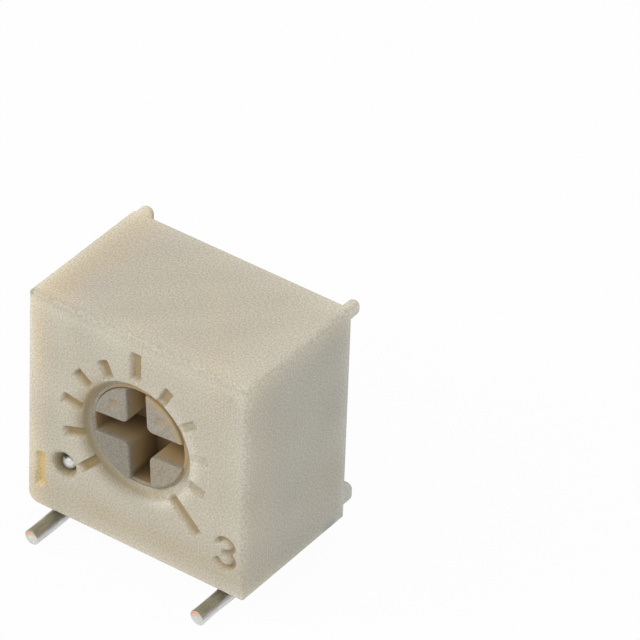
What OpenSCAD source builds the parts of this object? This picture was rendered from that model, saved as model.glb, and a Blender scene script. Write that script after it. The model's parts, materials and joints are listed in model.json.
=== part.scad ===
// Square single-turn trimmer potentiometer with three wire leads.
// The front face looks towards -Y, +X is to the right of the dial, +Z is up.
// The origin is on the board, under the middle of the lead span.
// Inside at_front(), y counts back from the front face and z up from the base.

/* [Housing] */
// Width across the front
body_w = 6.6; // [6.4:0.05:7.4]
// Height from the base to the top
body_h = 6.44; // [6.3:0.05:7.4]
// Depth from the front face to the rear rim
body_d = 4.2; // [4:0.05:5]
// Thickness of the front wall
front_wall = 0.7; // [0.6:0.05:0.75]
// Thickness of the side walls
side_wall = 0.4; // [0.3:0.02:0.44]
// Thickness of the top wall
top_wall = 0.4; // [0.3:0.02:0.6]
// Thickness of the base wall
base_wall = 0.67; // [0.5:0.02:0.8]
// Depth of the ledge that the substrate seats on
seat_depth = 1.82; // [1.8:0.02:2]
// Leg of the gusset in the rear upper corner
gusset_leg = 1.5; // [0.8:0.1:2]
// Radius of the outer edges
edge_r = 0.15; // [0.05:0.05:0.3]
// Radius of the lower left edge
lower_left_r = 0.3; // [0.1:0.05:0.4]
// Radius round the front face
front_r = 0.14; // [0.05:0.02:0.2]
// Width of the half-round notch in each side wall
notch_w = 0.7; // [0.4:0.05:1]
// Depth of the half-round notch
notch_depth = 0.15; // [0.05:0.05:0.2]
// Height of the middle of the notch
notch_z = 3.15; // [2.5:0.05:4]

/* [Standoffs] */
// Reach of the standoffs past the rear rim
nub_reach = 0.42; // [0.2:0.02:0.5]
// Width of a standoff
nub_w = 0.33; // [0.25:0.01:0.38]
// Height of the upper standoffs
nub_h = 0.4; // [0.3:0.05:0.6]
// Extra width at the root of the upper left standoff
nub_flare = 0.24; // [0.05:0.01:0.4]
// Lowest point of the lower standoffs
low_nub_z = 0.32; // [0.2:0.02:0.6]
// Length of the tip of the lower standoffs
low_nub_tip = 0.45; // [0.3:0.05:0.6]
// Length of the slope above the tip
low_nub_slope = 0.33; // [0.1:0.01:0.5]

/* [Rotor] */
// Height of the rotor axis above the base
rotor_z = 3.45; // [3.3:0.05:3.7]
// Radius of the rotor's head
rotor_r = 1.4; // [1.2:0.02:1.46]
// Running clearance of the head in its bore
bore_gap = 0.06; // [0.02:0.01:0.08]
// Radius of the soft rim of the bore
rim_r = 0.14; // [0.04:0.02:0.16]
// Depth of the head below the front face
head_recess = 0.04; // [0.04:0.02:0.3]
// Width of the cross slot
slot_w = 0.58; // [0.4:0.01:0.7]
// Thickness left between the slot's floor and the back of the flange
slot_web = 0.23; // [0.18:0.01:0.5]
// Chamfer on the inner corners of the cross
slot_chamfer = 0.1; // [0.02:0.01:0.2]
// Turn of the slot at rest, anticlockwise seen from the front
slot_turn = 4; // [0:1:20]
// Distance of the two dimples from the axis
dimple_reach = 1; // [0.8:0.05:1.1]
// Diameter of a dimple
dimple_d = 0.3; // [0.1:0.02:0.4]
// Depth of a dimple
dimple_depth = 0.05; // [0.02:0.01:0.1]
// Radius of the flange
flange_r = 1.96; // [1.94:0.01:2.02]
// Clearance between the flange and the seat, where the wiper works
wiper_space = 0.42; // [0.4:0.01:0.48]
// Reach of the stop lug past the flange
lug_reach = 0.24; // [0.15:0.01:0.3]
// Angle of the stop lug
lug_angle = 30; // [20:1:40]
// Mechanical travel of the rotor
travel = 270; // [240:5:280]
// Free angle left before the lug meets the stop
stop_gap = 2; // [1:0.5:4]
// Clearance round the moving flange
flange_gap = 0.06; // [0.04:0.01:0.1]
// Height of the peg that carries the wiper
peg_h = 0.14; // [0.1:0.01:0.18]
// Radius of the peg
peg_r = 0.3; // [0.2:0.02:0.34]

/* [Seal] */
// Thickness of the seal ring
seal_d = 0.3; // [0.2:0.02:0.32]
// Radius to the middle of the seal's section
seal_r = 1.64; // [1.62:0.01:1.68]
// Clearance of the seal from the front wall
seal_gap = 0.02; // [0.01:0.01:0.03]

/* [Dial] */
// Number of marks
tick_count = 11; // [5:2:15]
// Angle swept by the marks
tick_sweep = 270; // [240:10:280]
// Width of a mark
tick_w = 0.24; // [0.1:0.02:0.3]
// Depth of a mark
tick_depth = 0.12; // [0.05:0.01:0.2]
// Outer radius of a plain mark
tick_out = 2.2; // [2:0.05:2.5]
// Outer radius of the middle mark
tick_out_mid = 2.58; // [2.3:0.02:2.8]
// Outer radius of the mark at the anticlockwise end
tick_out_low = 2.36; // [2.2:0.02:2.5]
// Outer radius of the mark at the clockwise end
tick_out_high = 2.74; // [2.4:0.02:2.9]

/* [Leads] */
// Diameter of the wire
lead_d = 0.44; // [0.36:0.02:0.48]
// Distance between the two outer leads
lead_pitch = 5.08; // [5:0.02:5.12]
// Depth of the wire's axis below the base
lead_drop = 0.34; // [0.3:0.02:0.5]
// Reach of the outer leads past the front face
front_reach = 0.88; // [0.5:0.02:1.5]
// Reach of the middle lead past the rear rim
rear_reach = 1.38; // [0.8:0.02:2]
// Radius of the bends at the base
bend_r = 0.45; // [0.35:0.05:0.5]
// Radius of the inner bends
tip_bend_r = 0.26; // [0.25:0.01:0.3]
// Depth of the middle lead's upright behind the substrate
mid_lead_gap = 0.84; // [0.7:0.02:1]
// Height of the tips of the outer leads
tip_z = 1.18; // [1.12:0.02:1.24]
// Depth of the tips behind the front face
tip_depth = 0.54; // [0.54:0.02:0.8]

/* [Channels] */
// Width of the outer lead channels
channel_w = 0.6; // [0.54:0.02:0.64]
// Distance of the outer channels from the front face
channel_front = 0.95; // [0.8:0.05:1.1]
// Width of the middle slot in the base
mid_slot_w = 0.54; // [0.5:0.02:0.7]
// Distance of the middle slot from the front face
mid_slot_front = 0.47; // [0.4:0.01:0.6]
// Distance from the middle to the inside of a rail
rail_in = 1.52; // [1.3:0.02:1.6]
// Width of a rail
rail_w = 0.68; // [0.5:0.02:0.7]
// Height of a rail
rail_h = 0.27; // [0.1:0.01:0.28]
// Distance of the rails from the front face
rail_front = 0.45; // [0.2:0.05:0.8]
// Front wall left at the lead pockets
pocket_wall = 0.5; // [0.4:0.02:0.54]
// Height of the lead pockets
pocket_top = 1.5; // [1.45:0.05:1.7]
// Diameter of the window in front of the left lead
window_d = 0.7; // [0.5:0.05:0.8]
// Distance of the window from the middle
window_x = 2.2; // [2.1:0.02:2.3]
// Height of the window
window_z = 1.57; // [1.4:0.02:1.65]

/* [Element] */
// Thickness of the substrate
substrate_t = 0.64; // [0.5:0.02:0.7]
// Clearance round the substrate
substrate_gap = 0.05; // [0.02:0.01:0.1]
// Thickness of the printed layers
print_t = 0.03; // [0.01:0.005:0.05]
// Radius to the middle of the resistive track
track_r = 1.45; // [1.3:0.05:1.5]
// Width of the resistive track
track_w = 0.44; // [0.3:0.02:0.5]
// Angle of the resistive track
track_sweep = 286; // [270:2:290]
// Outer radius of the collector pad
collector_r = 0.85; // [0.7:0.05:0.95]
// Height of the end pads' lower edge
pad_bottom = 0.74; // [0.72:0.01:0.78]
// Thickness of the solder round a wire
solder_t = 0.07; // [0.04:0.01:0.08]
// Length of the solder on the outer leads
solder_len = 0.18; // [0.1:0.01:0.2]
// Height of the solder cone on the middle lead
solder_cone_h = 0.26; // [0.15:0.01:0.3]

/* [Wiper] */
// Thickness of the wiper strip
wiper_t = 0.08; // [0.05:0.01:0.1]
// Radius of the wiper's plate
wiper_r = 1.2; // [1.0:0.05:1.25]
// Number of fingers on the track
finger_count = 3; // [2:1:3]
// Width of a finger
finger_w = 0.16; // [0.1:0.01:0.18]
// Clearance of the fingers over the printed layers
contact_gap = 0.02; // [0.01:0.01:0.04]

/* [Epoxy] */
// Distance of the potting below the rear rim
fill_sink = 0.02; // [0.01:0.01:0.1]
// Distance of the middle slot's potting from the front face
fill_front = 1.5; // [1.3:0.05:1.6]
// Clearance of the potting round wires and solder
fill_gap = 0.01; // [0.005:0.005:0.02]
// Thickness of the smear on the base wall's rear end
smear_t = 0.04; // [0.02:0.01:0.08]
// Height of the lower edge of that smear
smear_z = 0.2; // [0.1:0.05:0.4]

/* [Hidden] */
$fn = 64;

// Overlap that keeps a cut from ending on a face
cut = 0.5;
lead_r = lead_d / 2;
lead_x = lead_pitch / 2;
// Height of the base above the board, and depth of the front face
base_z = lead_drop + lead_r;
front_y = front_reach - (front_reach + body_d + rear_reach) / 2;
bore_r = rotor_r + bore_gap;
// The flange runs this far behind the front wall
flange_gap_y = 0.04;
flange_front = front_wall + flange_gap_y;
flange_back = seat_depth - wiper_space;
flange_t = flange_back - flange_front;
slot_depth = flange_back - slot_web - head_recess;
lug_r = flange_r + lug_reach;
// Angle of the solid stop, below the axis
stop_angle = 360 - travel - lug_angle - 2 * stop_gap;
// Faces of the printed layers and of the substrate
print_y = seat_depth - print_t;
substrate_back = seat_depth + substrate_t;
// The outer wires stand against the printed pads
shank_y = print_y - lead_r;
mid_shank_y = substrate_back + mid_lead_gap;
well_w = body_w - 2 * side_wall;
well_top = body_h - top_wall;
// The groove holds the seal with this much room on each side
groove_gap = 0.02;
groove_floor = front_wall + seal_gap + seal_d;
groove_in = seal_r - seal_d / 2 - groove_gap;
groove_out = seal_r + seal_d / 2 + groove_gap;
peg_gap = 0.02;
// Depth and width of the relief round the end pads
relief_gap = 0.04;
// Small softening of the wire ends, the head and the nubs
lead_nose = 0.04;
head_bevel = 0.05;
nub_bevel = 0.08;
rear_r = 0.05;
// The wiper's parts
finger_pitch = 0.2;
finger_root = 0.45;
contact_r = wiper_t / 2;
inner_contact_x = 0.6;

// Placement and simple shapes

module at_front() {
    translate([0, front_y, base_z]) children();
}

module at_axis(y) {
    translate([0, y, rotor_z]) rotate([-90, 0, 0]) children();
}

module rod_y(r, y0, y1, x, z) {
    translate([x, y0, z]) rotate([-90, 0, 0]) cylinder(r = r, h = y1 - y0);
}

// A profile drawn in x and z, carried from y0 to y1
module along_y(y0, y1) {
    translate([0, y1, 0]) rotate([90, 0, 0]) linear_extrude(y1 - y0) children();
}

// A profile drawn in y and z, carried from x0 to x1
module along_x(x0, x1) {
    translate([x0, 0, 0]) rotate([90, 0, 90]) linear_extrude(x1 - x0) children();
}

module block(x0, x1, y0, y1, z0, z1) {
    translate([x0, y0, z0]) cube([x1 - x0, y1 - y0, z1 - z0]);
}

// What is cut away outside a rounded corner of radius r
module corner_bite(r) {
    difference() {
        translate([-r, -r]) square(2 * r);
        translate([r, r]) circle(r);
    }
}

// A rectangle with a radius for each corner, anticlockwise from the lower left
module soft_rect(size, radii) {
    difference() {
        square(size);
        corner_bite(radii[0]);
        translate([size.x, 0]) rotate(90) corner_bite(radii[1]);
        translate(size) rotate(180) corner_bite(radii[2]);
        translate([0, size.y]) rotate(270) corner_bite(radii[3]);
    }
}

// A flat sector about the rotor axis, with angles from +X towards +Z
module sector(r, a0, a1) {
    steps = 6;
    reach = 1.5 * r;
    intersection() {
        circle(r);
        polygon(concat([[0, 0]],
            [for (i = [0 : steps]) let (a = a0 + (a1 - a0) * i / steps)
                [reach * cos(a), reach * sin(a)]]));
    }
}

// The same profile seen along the rotor axis, carried from y0 to y1
module on_axis_y(y0, y1) {
    translate([0, 0, rotor_z]) along_y(y0, y1) children();
}

// Housing

module body_block() {
    intersection() {
        translate([-body_w / 2, 0, 0]) along_y(0, body_d)
            soft_rect([body_w, body_h], [lower_left_r, edge_r, edge_r, edge_r]);
        along_x(-body_w / 2, body_w / 2)
            soft_rect([body_d, body_h], [front_r, rear_r, rear_r, front_r]);
        translate([-body_w / 2, 0, 0]) linear_extrude(body_h)
            soft_rect([body_w, body_d], [front_r, front_r, rear_r, rear_r]);
    }
}

module rails() {
    for (x = [-rail_in - rail_w, rail_in])
        along_x(x, x + rail_w)
            translate([rail_front, -rail_h])
                soft_rect([body_d - rail_front, rail_h + base_wall / 2],
                          [edge_r / 2, rear_r, rear_r, rear_r]);
}

// Upper standoffs, drawn from above: the left one flares at its root
module upper_nubs() {
    root = -rear_r - cut / 2;
    outer = body_w / 2;
    tip = nub_reach;
    translate([0, body_d, body_h - nub_h]) linear_extrude(nub_h) {
        polygon([[-outer, root], [-outer + nub_w + nub_flare, root],
                 [-outer + nub_w + nub_flare, 0], [-outer + nub_w, tip - nub_bevel],
                 [-outer + nub_w - nub_bevel, tip], [-outer + nub_bevel, tip],
                 [-outer, tip - nub_bevel]]);
        polygon([[outer, root], [outer, tip - nub_bevel],
                 [outer - nub_bevel, tip], [outer - nub_w + nub_bevel, tip],
                 [outer - nub_w, tip - nub_bevel], [outer - nub_w, root]]);
    }
}

// Lower standoffs, drawn from the side: the upper flank slopes to the rim
module lower_nubs() {
    y0 = body_d - rear_r - cut / 2;
    tip = body_d + nub_reach;
    top = low_nub_z + low_nub_tip;
    for (x = [-body_w / 2, body_w / 2 - nub_w])
        along_x(x, x + nub_w)
            polygon([[y0, low_nub_z], [tip - nub_bevel, low_nub_z],
                     [tip, low_nub_z + nub_bevel], [tip, top - nub_bevel],
                     [tip - nub_bevel, top], [body_d, top + low_nub_slope],
                     [y0, top + low_nub_slope]]);
}

// The well's outline from the front, with one corner filled by the gusset
module well_outline(gap) {
    x = well_w / 2 - gap;
    z0 = base_wall + gap;
    z1 = well_top - gap;
    leg = gusset_leg + gap;
    polygon([[-x, z0], [x, z0], [x, z1], [-well_w / 2 + leg, z1], [-x, well_top - leg]]);
}

// A shallow half-round recess in each side wall
module side_notches(y0, y1) {
    r = (pow(notch_w / 2, 2) + pow(notch_depth, 2)) / (2 * notch_depth);
    for (side = [-1, 1])
        rod_y(r, y0, y1, side * (well_w / 2 + notch_depth - r), notch_z);
}

// The head's bore with its rounded rim, and the room for the flange and lug
module rotor_room() {
    at_axis(-cut) cylinder(r = bore_r, h = front_wall + 2 * cut);
    at_axis(0) rotate_extrude() difference() {
        translate([0, -rim_r]) square([bore_r + rim_r, 2 * rim_r]);
        translate([bore_r + rim_r, rim_r]) circle(rim_r);
    }
    room_r = flange_r + flange_gap;
    track_out = lug_r + flange_gap;
    at_axis(front_wall) cylinder(r = room_r, h = seat_depth - front_wall + cut);
    on_axis_y(front_wall, seat_depth + cut)
        sector(track_out, -90 + stop_angle / 2, 270 - stop_angle / 2);
}

module dial_marks() {
    middle = (tick_count - 1) / 2;
    step = tick_sweep / (tick_count - 1);
    for (i = [0 : tick_count - 1]) {
        a = 90 + tick_sweep / 2 - step * i;
        reach = i == 0 ? tick_out_low
              : i == middle ? tick_out_mid
              : i == tick_count - 1 ? tick_out_high : tick_out;
        translate([0, 0, rotor_z]) rotate([0, -a, 0])
            block(0, reach, -cut, tick_depth, -tick_w / 2, tick_w / 2);
    }
}

// Pockets for the outer wires inside, and the channels they come out of
module lead_pockets() {
    for (side = [-1, 1]) {
        inner = side < 0 ? window_x - window_d / 2 : lead_x - channel_w / 2;
        outer = lead_x + channel_w / 2;
        x0 = side < 0 ? -outer : inner;
        block(x0, x0 + outer - inner, pocket_wall, seat_depth + cut, base_wall, pocket_top);
        block(side * lead_x - channel_w / 2, side * lead_x + channel_w / 2,
              channel_front, body_d + cut, -cut, pocket_top);
    }
    block(-mid_slot_w / 2, mid_slot_w / 2, mid_slot_front, body_d + cut,
          -rail_h - cut, base_wall);
}

// From the end of the arc down to the foot of the wire, on the right-hand side
module pad_outline(gap) {
    a = 90 - track_sweep / 2;
    r0 = track_r - track_w / 2 - gap;
    r1 = track_r + track_w / 2 + gap;
    edge = lead_x + channel_w / 2 - substrate_gap + gap;
    polygon([[r1 * cos(a), rotor_z + r1 * sin(a)], [lead_x - channel_w / 2, pad_bottom - gap],
             [edge, pad_bottom - gap], [edge, pocket_top + gap],
             [r0 * cos(a), rotor_z + r0 * sin(a)]]);
}

// Shallow relief in the ledge, so that it doesn't press on the printed pads
module pad_reliefs() {
    for (side = [0, 1]) mirror([side, 0, 0])
        along_y(print_y - relief_gap, seat_depth + cut) pad_outline(relief_gap);
}

module housing() {
    color("#d9cfb6") at_front() difference() {
        union() {
            body_block();
            rails();
            intersection() {
                translate([-body_w / 2, 0, 0]) along_y(0, body_d + nub_reach + cut)
                    soft_rect([body_w, body_h], [lower_left_r, edge_r, edge_r, edge_r]);
                union() {
                    upper_nubs();
                    lower_nubs();
                }
            }
        }
        pad_reliefs();
        along_y(seat_depth, body_d + cut) well_outline(0);
        side_notches(substrate_back, body_d + cut);
        rotor_room();
        dial_marks();
        lead_pockets();
        rod_y(window_d / 2, -cut, shank_y - lead_r, -window_x, window_z);
    }
}

// Rotor and what turns with it

module cross_profile() {
    diamond = (slot_w + slot_chamfer) * sqrt(2);
    square([3 * rotor_r, slot_w], center = true);
    square([slot_w, 3 * rotor_r], center = true);
    rotate(45) square(diamond, center = true);
}

// Turned with the slot; the profile's +Y side points down inside at_axis()
module turned() {
    translate([0, 0, rotor_z]) rotate([0, -slot_turn, 0]) translate([0, 0, -rotor_z]) children();
}

module rotor() {
    head_front = head_recess;
    color("#bfb4a2") at_front() turned() difference() {
        union() {
            at_axis(head_front + head_bevel)
                cylinder(r = rotor_r, h = flange_front - head_front);
            at_axis(head_front)
                cylinder(r1 = rotor_r - head_bevel, r2 = rotor_r, h = head_bevel);
            at_axis(flange_front) cylinder(r = flange_r, h = flange_t);
            on_axis_y(flange_front, flange_back)
                sector(lug_r, 90 - lug_angle / 2, 90 + lug_angle / 2);
            at_axis(flange_back) cylinder(r = peg_r, h = peg_h);
        }
        intersection() {
            on_axis_y(head_front - cut, head_front + slot_depth) cross_profile();
            at_axis(head_front - cut) cylinder(r = rotor_r, h = slot_depth + cut);
        }
        at_axis(flange_front - bore_gap) difference() {
            cylinder(r = groove_out, h = groove_floor - flange_front + bore_gap);
            translate([0, 0, -cut]) cylinder(r = groove_in, h = body_d);
        }
        dimple_r = (pow(dimple_d / 2, 2) + pow(dimple_depth, 2)) / (2 * dimple_depth);
        for (a = [45, 135])
            translate([dimple_reach * cos(a), head_front + dimple_depth - dimple_r,
                       rotor_z + dimple_reach * sin(a)])
                sphere(dimple_r);
    }
}

module rotor_seal() {
    color("#2b2b2b") at_front() at_axis(groove_floor - seal_d / 2)
        rotate_extrude() translate([seal_r, 0]) circle(seal_d / 2);
}

// One finger in side view: it starts on the plate and leans back to its contact
module finger_profile(x0, x1) {
    y0 = flange_back + wiper_t;
    y1 = print_y - contact_gap - contact_r;
    lean = contact_r;
    polygon([[x0, y0 - wiper_t], [x0 + lean, y0 - wiper_t], [x1 + lean, y1], [x1 - lean, y1],
             [x0, y0]]);
    translate([x1, y1]) circle(contact_r);
}

module finger(x0, x1, z) {
    translate([0, 0, rotor_z + z - finger_w / 2]) linear_extrude(finger_w)
        finger_profile(x0, x1);
}

module wiper() {
    color("#c9a24a") at_front() turned() {
        difference() {
            at_axis(flange_back) cylinder(r = wiper_r - finger_root / 2, h = wiper_t);
            at_axis(flange_back - cut) cylinder(r = peg_r + peg_gap, h = wiper_t + 2 * cut);
        }
        middle = (finger_count - 1) / 2;
        for (i = [0 : finger_count - 1])
            finger(finger_root + finger_w, track_r, (i - middle) * finger_pitch);
        for (side = [-1, 1])
            translate([0, 0, side * finger_pitch / 2])
                mirror([1, 0, 0]) finger(peg_r + peg_gap + finger_w / 2, inner_contact_x, 0);
    }
}

// Element

module substrate() {
    color("#e9e6df") at_front() difference() {
        along_y(seat_depth, substrate_back) well_outline(substrate_gap);
        rod_y(lead_r + substrate_gap, seat_depth - cut, substrate_back + cut, 0, rotor_z);
    }
}

module print_ring(r0, r1, a0, a1) {
    on_axis_y(print_y, seat_depth) difference() {
        sector(r1, a0, a1);
        circle(r0);
    }
}

module resistive_track() {
    color("#2e2a28") at_front()
        print_ring(track_r - track_w / 2, track_r + track_w / 2,
                   90 - track_sweep / 2, 90 + track_sweep / 2);
}

module collector_pad() {
    color("#c8c4ba") at_front() on_axis_y(print_y, seat_depth) difference() {
        circle(collector_r);
        circle(lead_r + substrate_gap);
    }
}

module end_pad() {
    along_y(print_y, seat_depth) pad_outline(0);
}

module end_pad_1() {
    color("#c8c4ba") at_front() mirror([1, 0, 0]) end_pad();
}

module end_pad_3() {
    color("#c8c4ba") at_front() end_pad();
}

// Leads

// A quarter bend in the plane x = 0, from angle a0 measured from +Y to +Z
module quarter_bend(y, z, r, a0) {
    translate([0, y, z]) rotate([90, 0, 90]) rotate([0, 0, a0])
        rotate_extrude(angle = 90) translate([r, 0]) circle(lead_r);
}

// A straight run along y with a softened end at y0
module run_y(y0, y1, z) {
    way = y1 > y0 ? 1 : -1;
    translate([0, y0, z]) rotate([-90 * way, 0, 0]) {
        cylinder(r1 = lead_r - lead_nose, r2 = lead_r, h = lead_nose);
        translate([0, 0, lead_nose]) cylinder(r = lead_r, h = abs(y1 - y0) - lead_nose);
    }
}

module upright(y, z0, z1) {
    translate([0, y, z0]) cylinder(r = lead_r, h = z1 - z0);
}

module outer_wire() {
    foot_z = -lead_drop;
    run_y(-front_reach, shank_y - bend_r, foot_z);
    quarter_bend(shank_y - bend_r, foot_z + bend_r, bend_r, -90);
    upright(shank_y, foot_z + bend_r, tip_z - tip_bend_r);
    quarter_bend(shank_y - tip_bend_r, tip_z - tip_bend_r, tip_bend_r, 0);
    run_y(tip_depth, shank_y - tip_bend_r, tip_z);
}

module middle_wire() {
    foot_z = -lead_drop;
    run_y(body_d + rear_reach, mid_shank_y + bend_r, foot_z);
    quarter_bend(mid_shank_y + bend_r, foot_z + bend_r, bend_r, 180);
    upright(mid_shank_y, foot_z + bend_r, rotor_z - tip_bend_r);
    quarter_bend(mid_shank_y - tip_bend_r, rotor_z - tip_bend_r, tip_bend_r, 0);
    run_y(seat_depth + print_t, mid_shank_y - tip_bend_r, rotor_z);
}

module lead_1() {
    color("#b9b6ae") at_front() translate([-lead_x, 0, 0]) outer_wire();
}

module lead_2() {
    color("#b9b6ae") at_front() middle_wire();
}

module lead_3() {
    color("#b9b6ae") at_front() translate([lead_x, 0, 0]) outer_wire();
}

// Solder

// A collar round an outer wire, flat where it wets its pad
module collar(x) {
    z0 = pad_bottom;
    difference() {
        intersection() {
            translate([x, shank_y, z0]) cylinder(r = lead_r + solder_t, h = solder_len);
            block(x - channel_w, x + channel_w, 0, print_y, 0, body_h);
        }
        translate([x, shank_y, z0 - cut])
            cylinder(r = lead_r + fill_gap, h = solder_len + 2 * cut);
    }
}

module solder_cone(grow) {
    at_axis(substrate_back)
        cylinder(r1 = lead_r + 2 * solder_t + grow, r2 = lead_r + solder_t / 2 + grow,
                 h = solder_cone_h + grow);
}

module solder_1() {
    color("#cfcdc6") at_front() collar(-lead_x);
}

module solder_3() {
    color("#cfcdc6") at_front() collar(lead_x);
}

module solder_2() {
    color("#cfcdc6") at_front() difference() {
        solder_cone(0);
        rod_y(lead_r + fill_gap, substrate_back - cut, substrate_back + solder_cone_h + cut,
              0, rotor_z);
    }
}

// Potting

// Room left for a wire along its own route
module wire_room(y_foot, y_shank, z_top) {
    r = lead_r + fill_gap;
    way = y_foot > y_shank ? 1 : -1;
    foot_z = -lead_drop;
    y_bend = y_shank + way * bend_r;
    low = min(y_foot, y_bend);
    high = max(y_foot, y_bend);
    translate([0, low, foot_z]) rotate([-90, 0, 0]) cylinder(r = r, h = high - low);
    translate([0, y_bend, foot_z + bend_r]) rotate([90, 0, 90])
        rotate([0, 0, way > 0 ? 180 : -90])
            rotate_extrude(angle = 90) translate([bend_r, 0]) circle(r);
    translate([0, y_shank, foot_z + bend_r]) cylinder(r = r, h = z_top - foot_z - bend_r);
}

module epoxy_fill() {
    rear = body_d - fill_sink;
    color("#2c5086") at_front() difference() {
        union() {
            along_y(substrate_back, rear) well_outline(0);
            intersection() {
                side_notches(substrate_back, rear);
                block(-body_w, body_w, 0, rear, base_wall, well_top);
            }
            for (side = [-1, 1])
                block(side * lead_x - channel_w / 2, side * lead_x + channel_w / 2,
                      channel_front, rear, 0, base_wall);
            block(-mid_slot_w / 2, mid_slot_w / 2, fill_front, rear, 0, base_wall);
            block(-lead_x, lead_x, body_d, body_d + smear_t, smear_z, base_wall + smear_z);
            block(-lead_x, lead_x, rear, body_d, base_wall, base_wall + smear_z);
        }
        for (side = [-1, 1]) translate([side * lead_x, 0, 0])
            wire_room(-front_reach, shank_y, base_wall + cut);
        wire_room(body_d + rear_reach, mid_shank_y, rotor_z - tip_bend_r);
        translate([0, mid_shank_y - tip_bend_r, rotor_z - tip_bend_r]) rotate([90, 0, 90])
            rotate_extrude(angle = 90) translate([tip_bend_r, 0]) circle(lead_r + fill_gap);
        rod_y(lead_r + fill_gap, substrate_back - cut, mid_shank_y - tip_bend_r, 0, rotor_z);
        solder_cone(fill_gap);
    }
}

housing();
rotor();
rotor_seal();
wiper();
substrate();
resistive_track();
collector_pad();
end_pad_1();
end_pad_3();
lead_1();
lead_2();
lead_3();
solder_1();
solder_2();
solder_3();
epoxy_fill();
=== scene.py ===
import json
import math
import bpy
import numpy as np
from mathutils import Matrix, Vector


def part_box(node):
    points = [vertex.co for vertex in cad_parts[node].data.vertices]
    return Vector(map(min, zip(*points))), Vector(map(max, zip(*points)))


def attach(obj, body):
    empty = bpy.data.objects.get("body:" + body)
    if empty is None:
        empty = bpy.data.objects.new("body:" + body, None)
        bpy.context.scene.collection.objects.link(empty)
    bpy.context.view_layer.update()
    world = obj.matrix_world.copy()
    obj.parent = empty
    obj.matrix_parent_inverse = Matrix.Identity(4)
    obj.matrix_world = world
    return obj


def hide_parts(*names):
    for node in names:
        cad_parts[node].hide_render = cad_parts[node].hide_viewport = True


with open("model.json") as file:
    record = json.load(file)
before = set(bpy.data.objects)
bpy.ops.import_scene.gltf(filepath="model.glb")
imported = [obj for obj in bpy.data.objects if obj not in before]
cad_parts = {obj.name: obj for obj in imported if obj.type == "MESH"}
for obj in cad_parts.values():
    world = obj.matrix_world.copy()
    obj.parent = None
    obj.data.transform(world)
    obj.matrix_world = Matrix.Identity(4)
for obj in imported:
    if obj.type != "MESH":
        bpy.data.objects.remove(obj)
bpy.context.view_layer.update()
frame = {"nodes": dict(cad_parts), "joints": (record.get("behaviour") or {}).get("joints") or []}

# Lengths below are in millimetres, in case coordinates: x to the right of the dial,
# t back from the front face, z up from the base. MM turns them into the frame's metres.
# A name ends in _R for a radius, in _T for a depth and in _X or _Z for a place.
MM = 0.001


def box_of(node):
    """Low and high corner of a CAD node's box."""
    return np.array(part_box(node)) / MM


# Places taken from the frame
case_low, case_high = box_of("housing")
lead_low, lead_high = box_of("lead_1")
mid_high = box_of("lead_2")[1]
AXIS = np.array(frame["joints"][0]["pos_m"]) / MM

# Sizes of the case that the box doesn't give
RAIL_H = 0.27
NUB_REACH = 0.42
FRONT_Y = case_low[1]
BASE_Z = case_low[2] + RAIL_H
HALF_W = case_high[0]
BODY_H = case_high[2] - BASE_Z
BODY_D = case_high[1] - NUB_REACH - FRONT_Y
ROTOR_Z = AXIS[2] - BASE_Z
CENTRE = np.array([0, ROTOR_Z])

# Radii of the long edges: upper right, upper left, lower left, lower right
EDGE_R = (0.17, 0.06, 0.3, 0.08)
REAR_R = 0.04
SIDE_WALL = 0.4
TOP_WALL = 0.4
BASE_WALL = 0.67
GUSSET_LEG = 1.5
FRONT_WALL = 0.7
SEAT_T = 2.0
BORE_R = 1.46
RIM_DEPTH = 0.14
RIM_WIDTH = 0.2

# Depths of the rings along the sides, closer where a rail, a channel or the slot starts
SIDE_DEPTHS = (0.22, 0.3, 0.4, 0.435, 0.45, 0.465, 0.485, 0.6, 0.8, 0.935, 0.95, 0.965, 1.2, 1.6,
               2.0, 2.4, 2.8, 3.2, 3.5, 3.7, 3.85, 3.95, 4.02, 4.08, 4.12, BODY_D - REAR_R)
FACE_RINGS = 77

# Rotor
HEAD_T = AXIS[1] - FRONT_Y
HEAD_R = 1.4
FLANGE_T = (0.74, 1.4)
FLANGE_R = 1.96
GROOVE_R = (1.47, 1.81)
GROOVE_FLOOR = 1.04
LUG_R = box_of("rotor")[1][2] - AXIS[2]
LUG_ROOM = 0.04
SLOT_TURN = math.radians(4)
SLOT_W = 0.58
SLOT_FLOOR = 1.17
SLOT_CHAMFER = 0.1
# The posts' numbers, against the clock from the upper right
UPPER_RIGHT, UPPER_LEFT, LOWER_RIGHT = 0, 1, 3

# Leads, and what the case has for them underneath
LEAD_R = 0.22
LEAD_X = 2.54
LEAD_BENDS = (0.45, 0.26)
CHANNEL_HALF = 0.3
CHANNEL_FRONT = 0.95
MID_SLOT_HALF = 0.27
MID_SLOT_FRONT = 0.47
RAIL_IN = 1.52
RAIL_OUT = 2.2
RAIL_FRONT = 0.45
# Half the gap between the two angles on either side of an edge under the base
PAIR_HALF = 0.014

# The marks and the rim were cut a little low and left of the rotor's axis
DIAL = np.array([-0.045, ROTOR_Z - 0.085])
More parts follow.
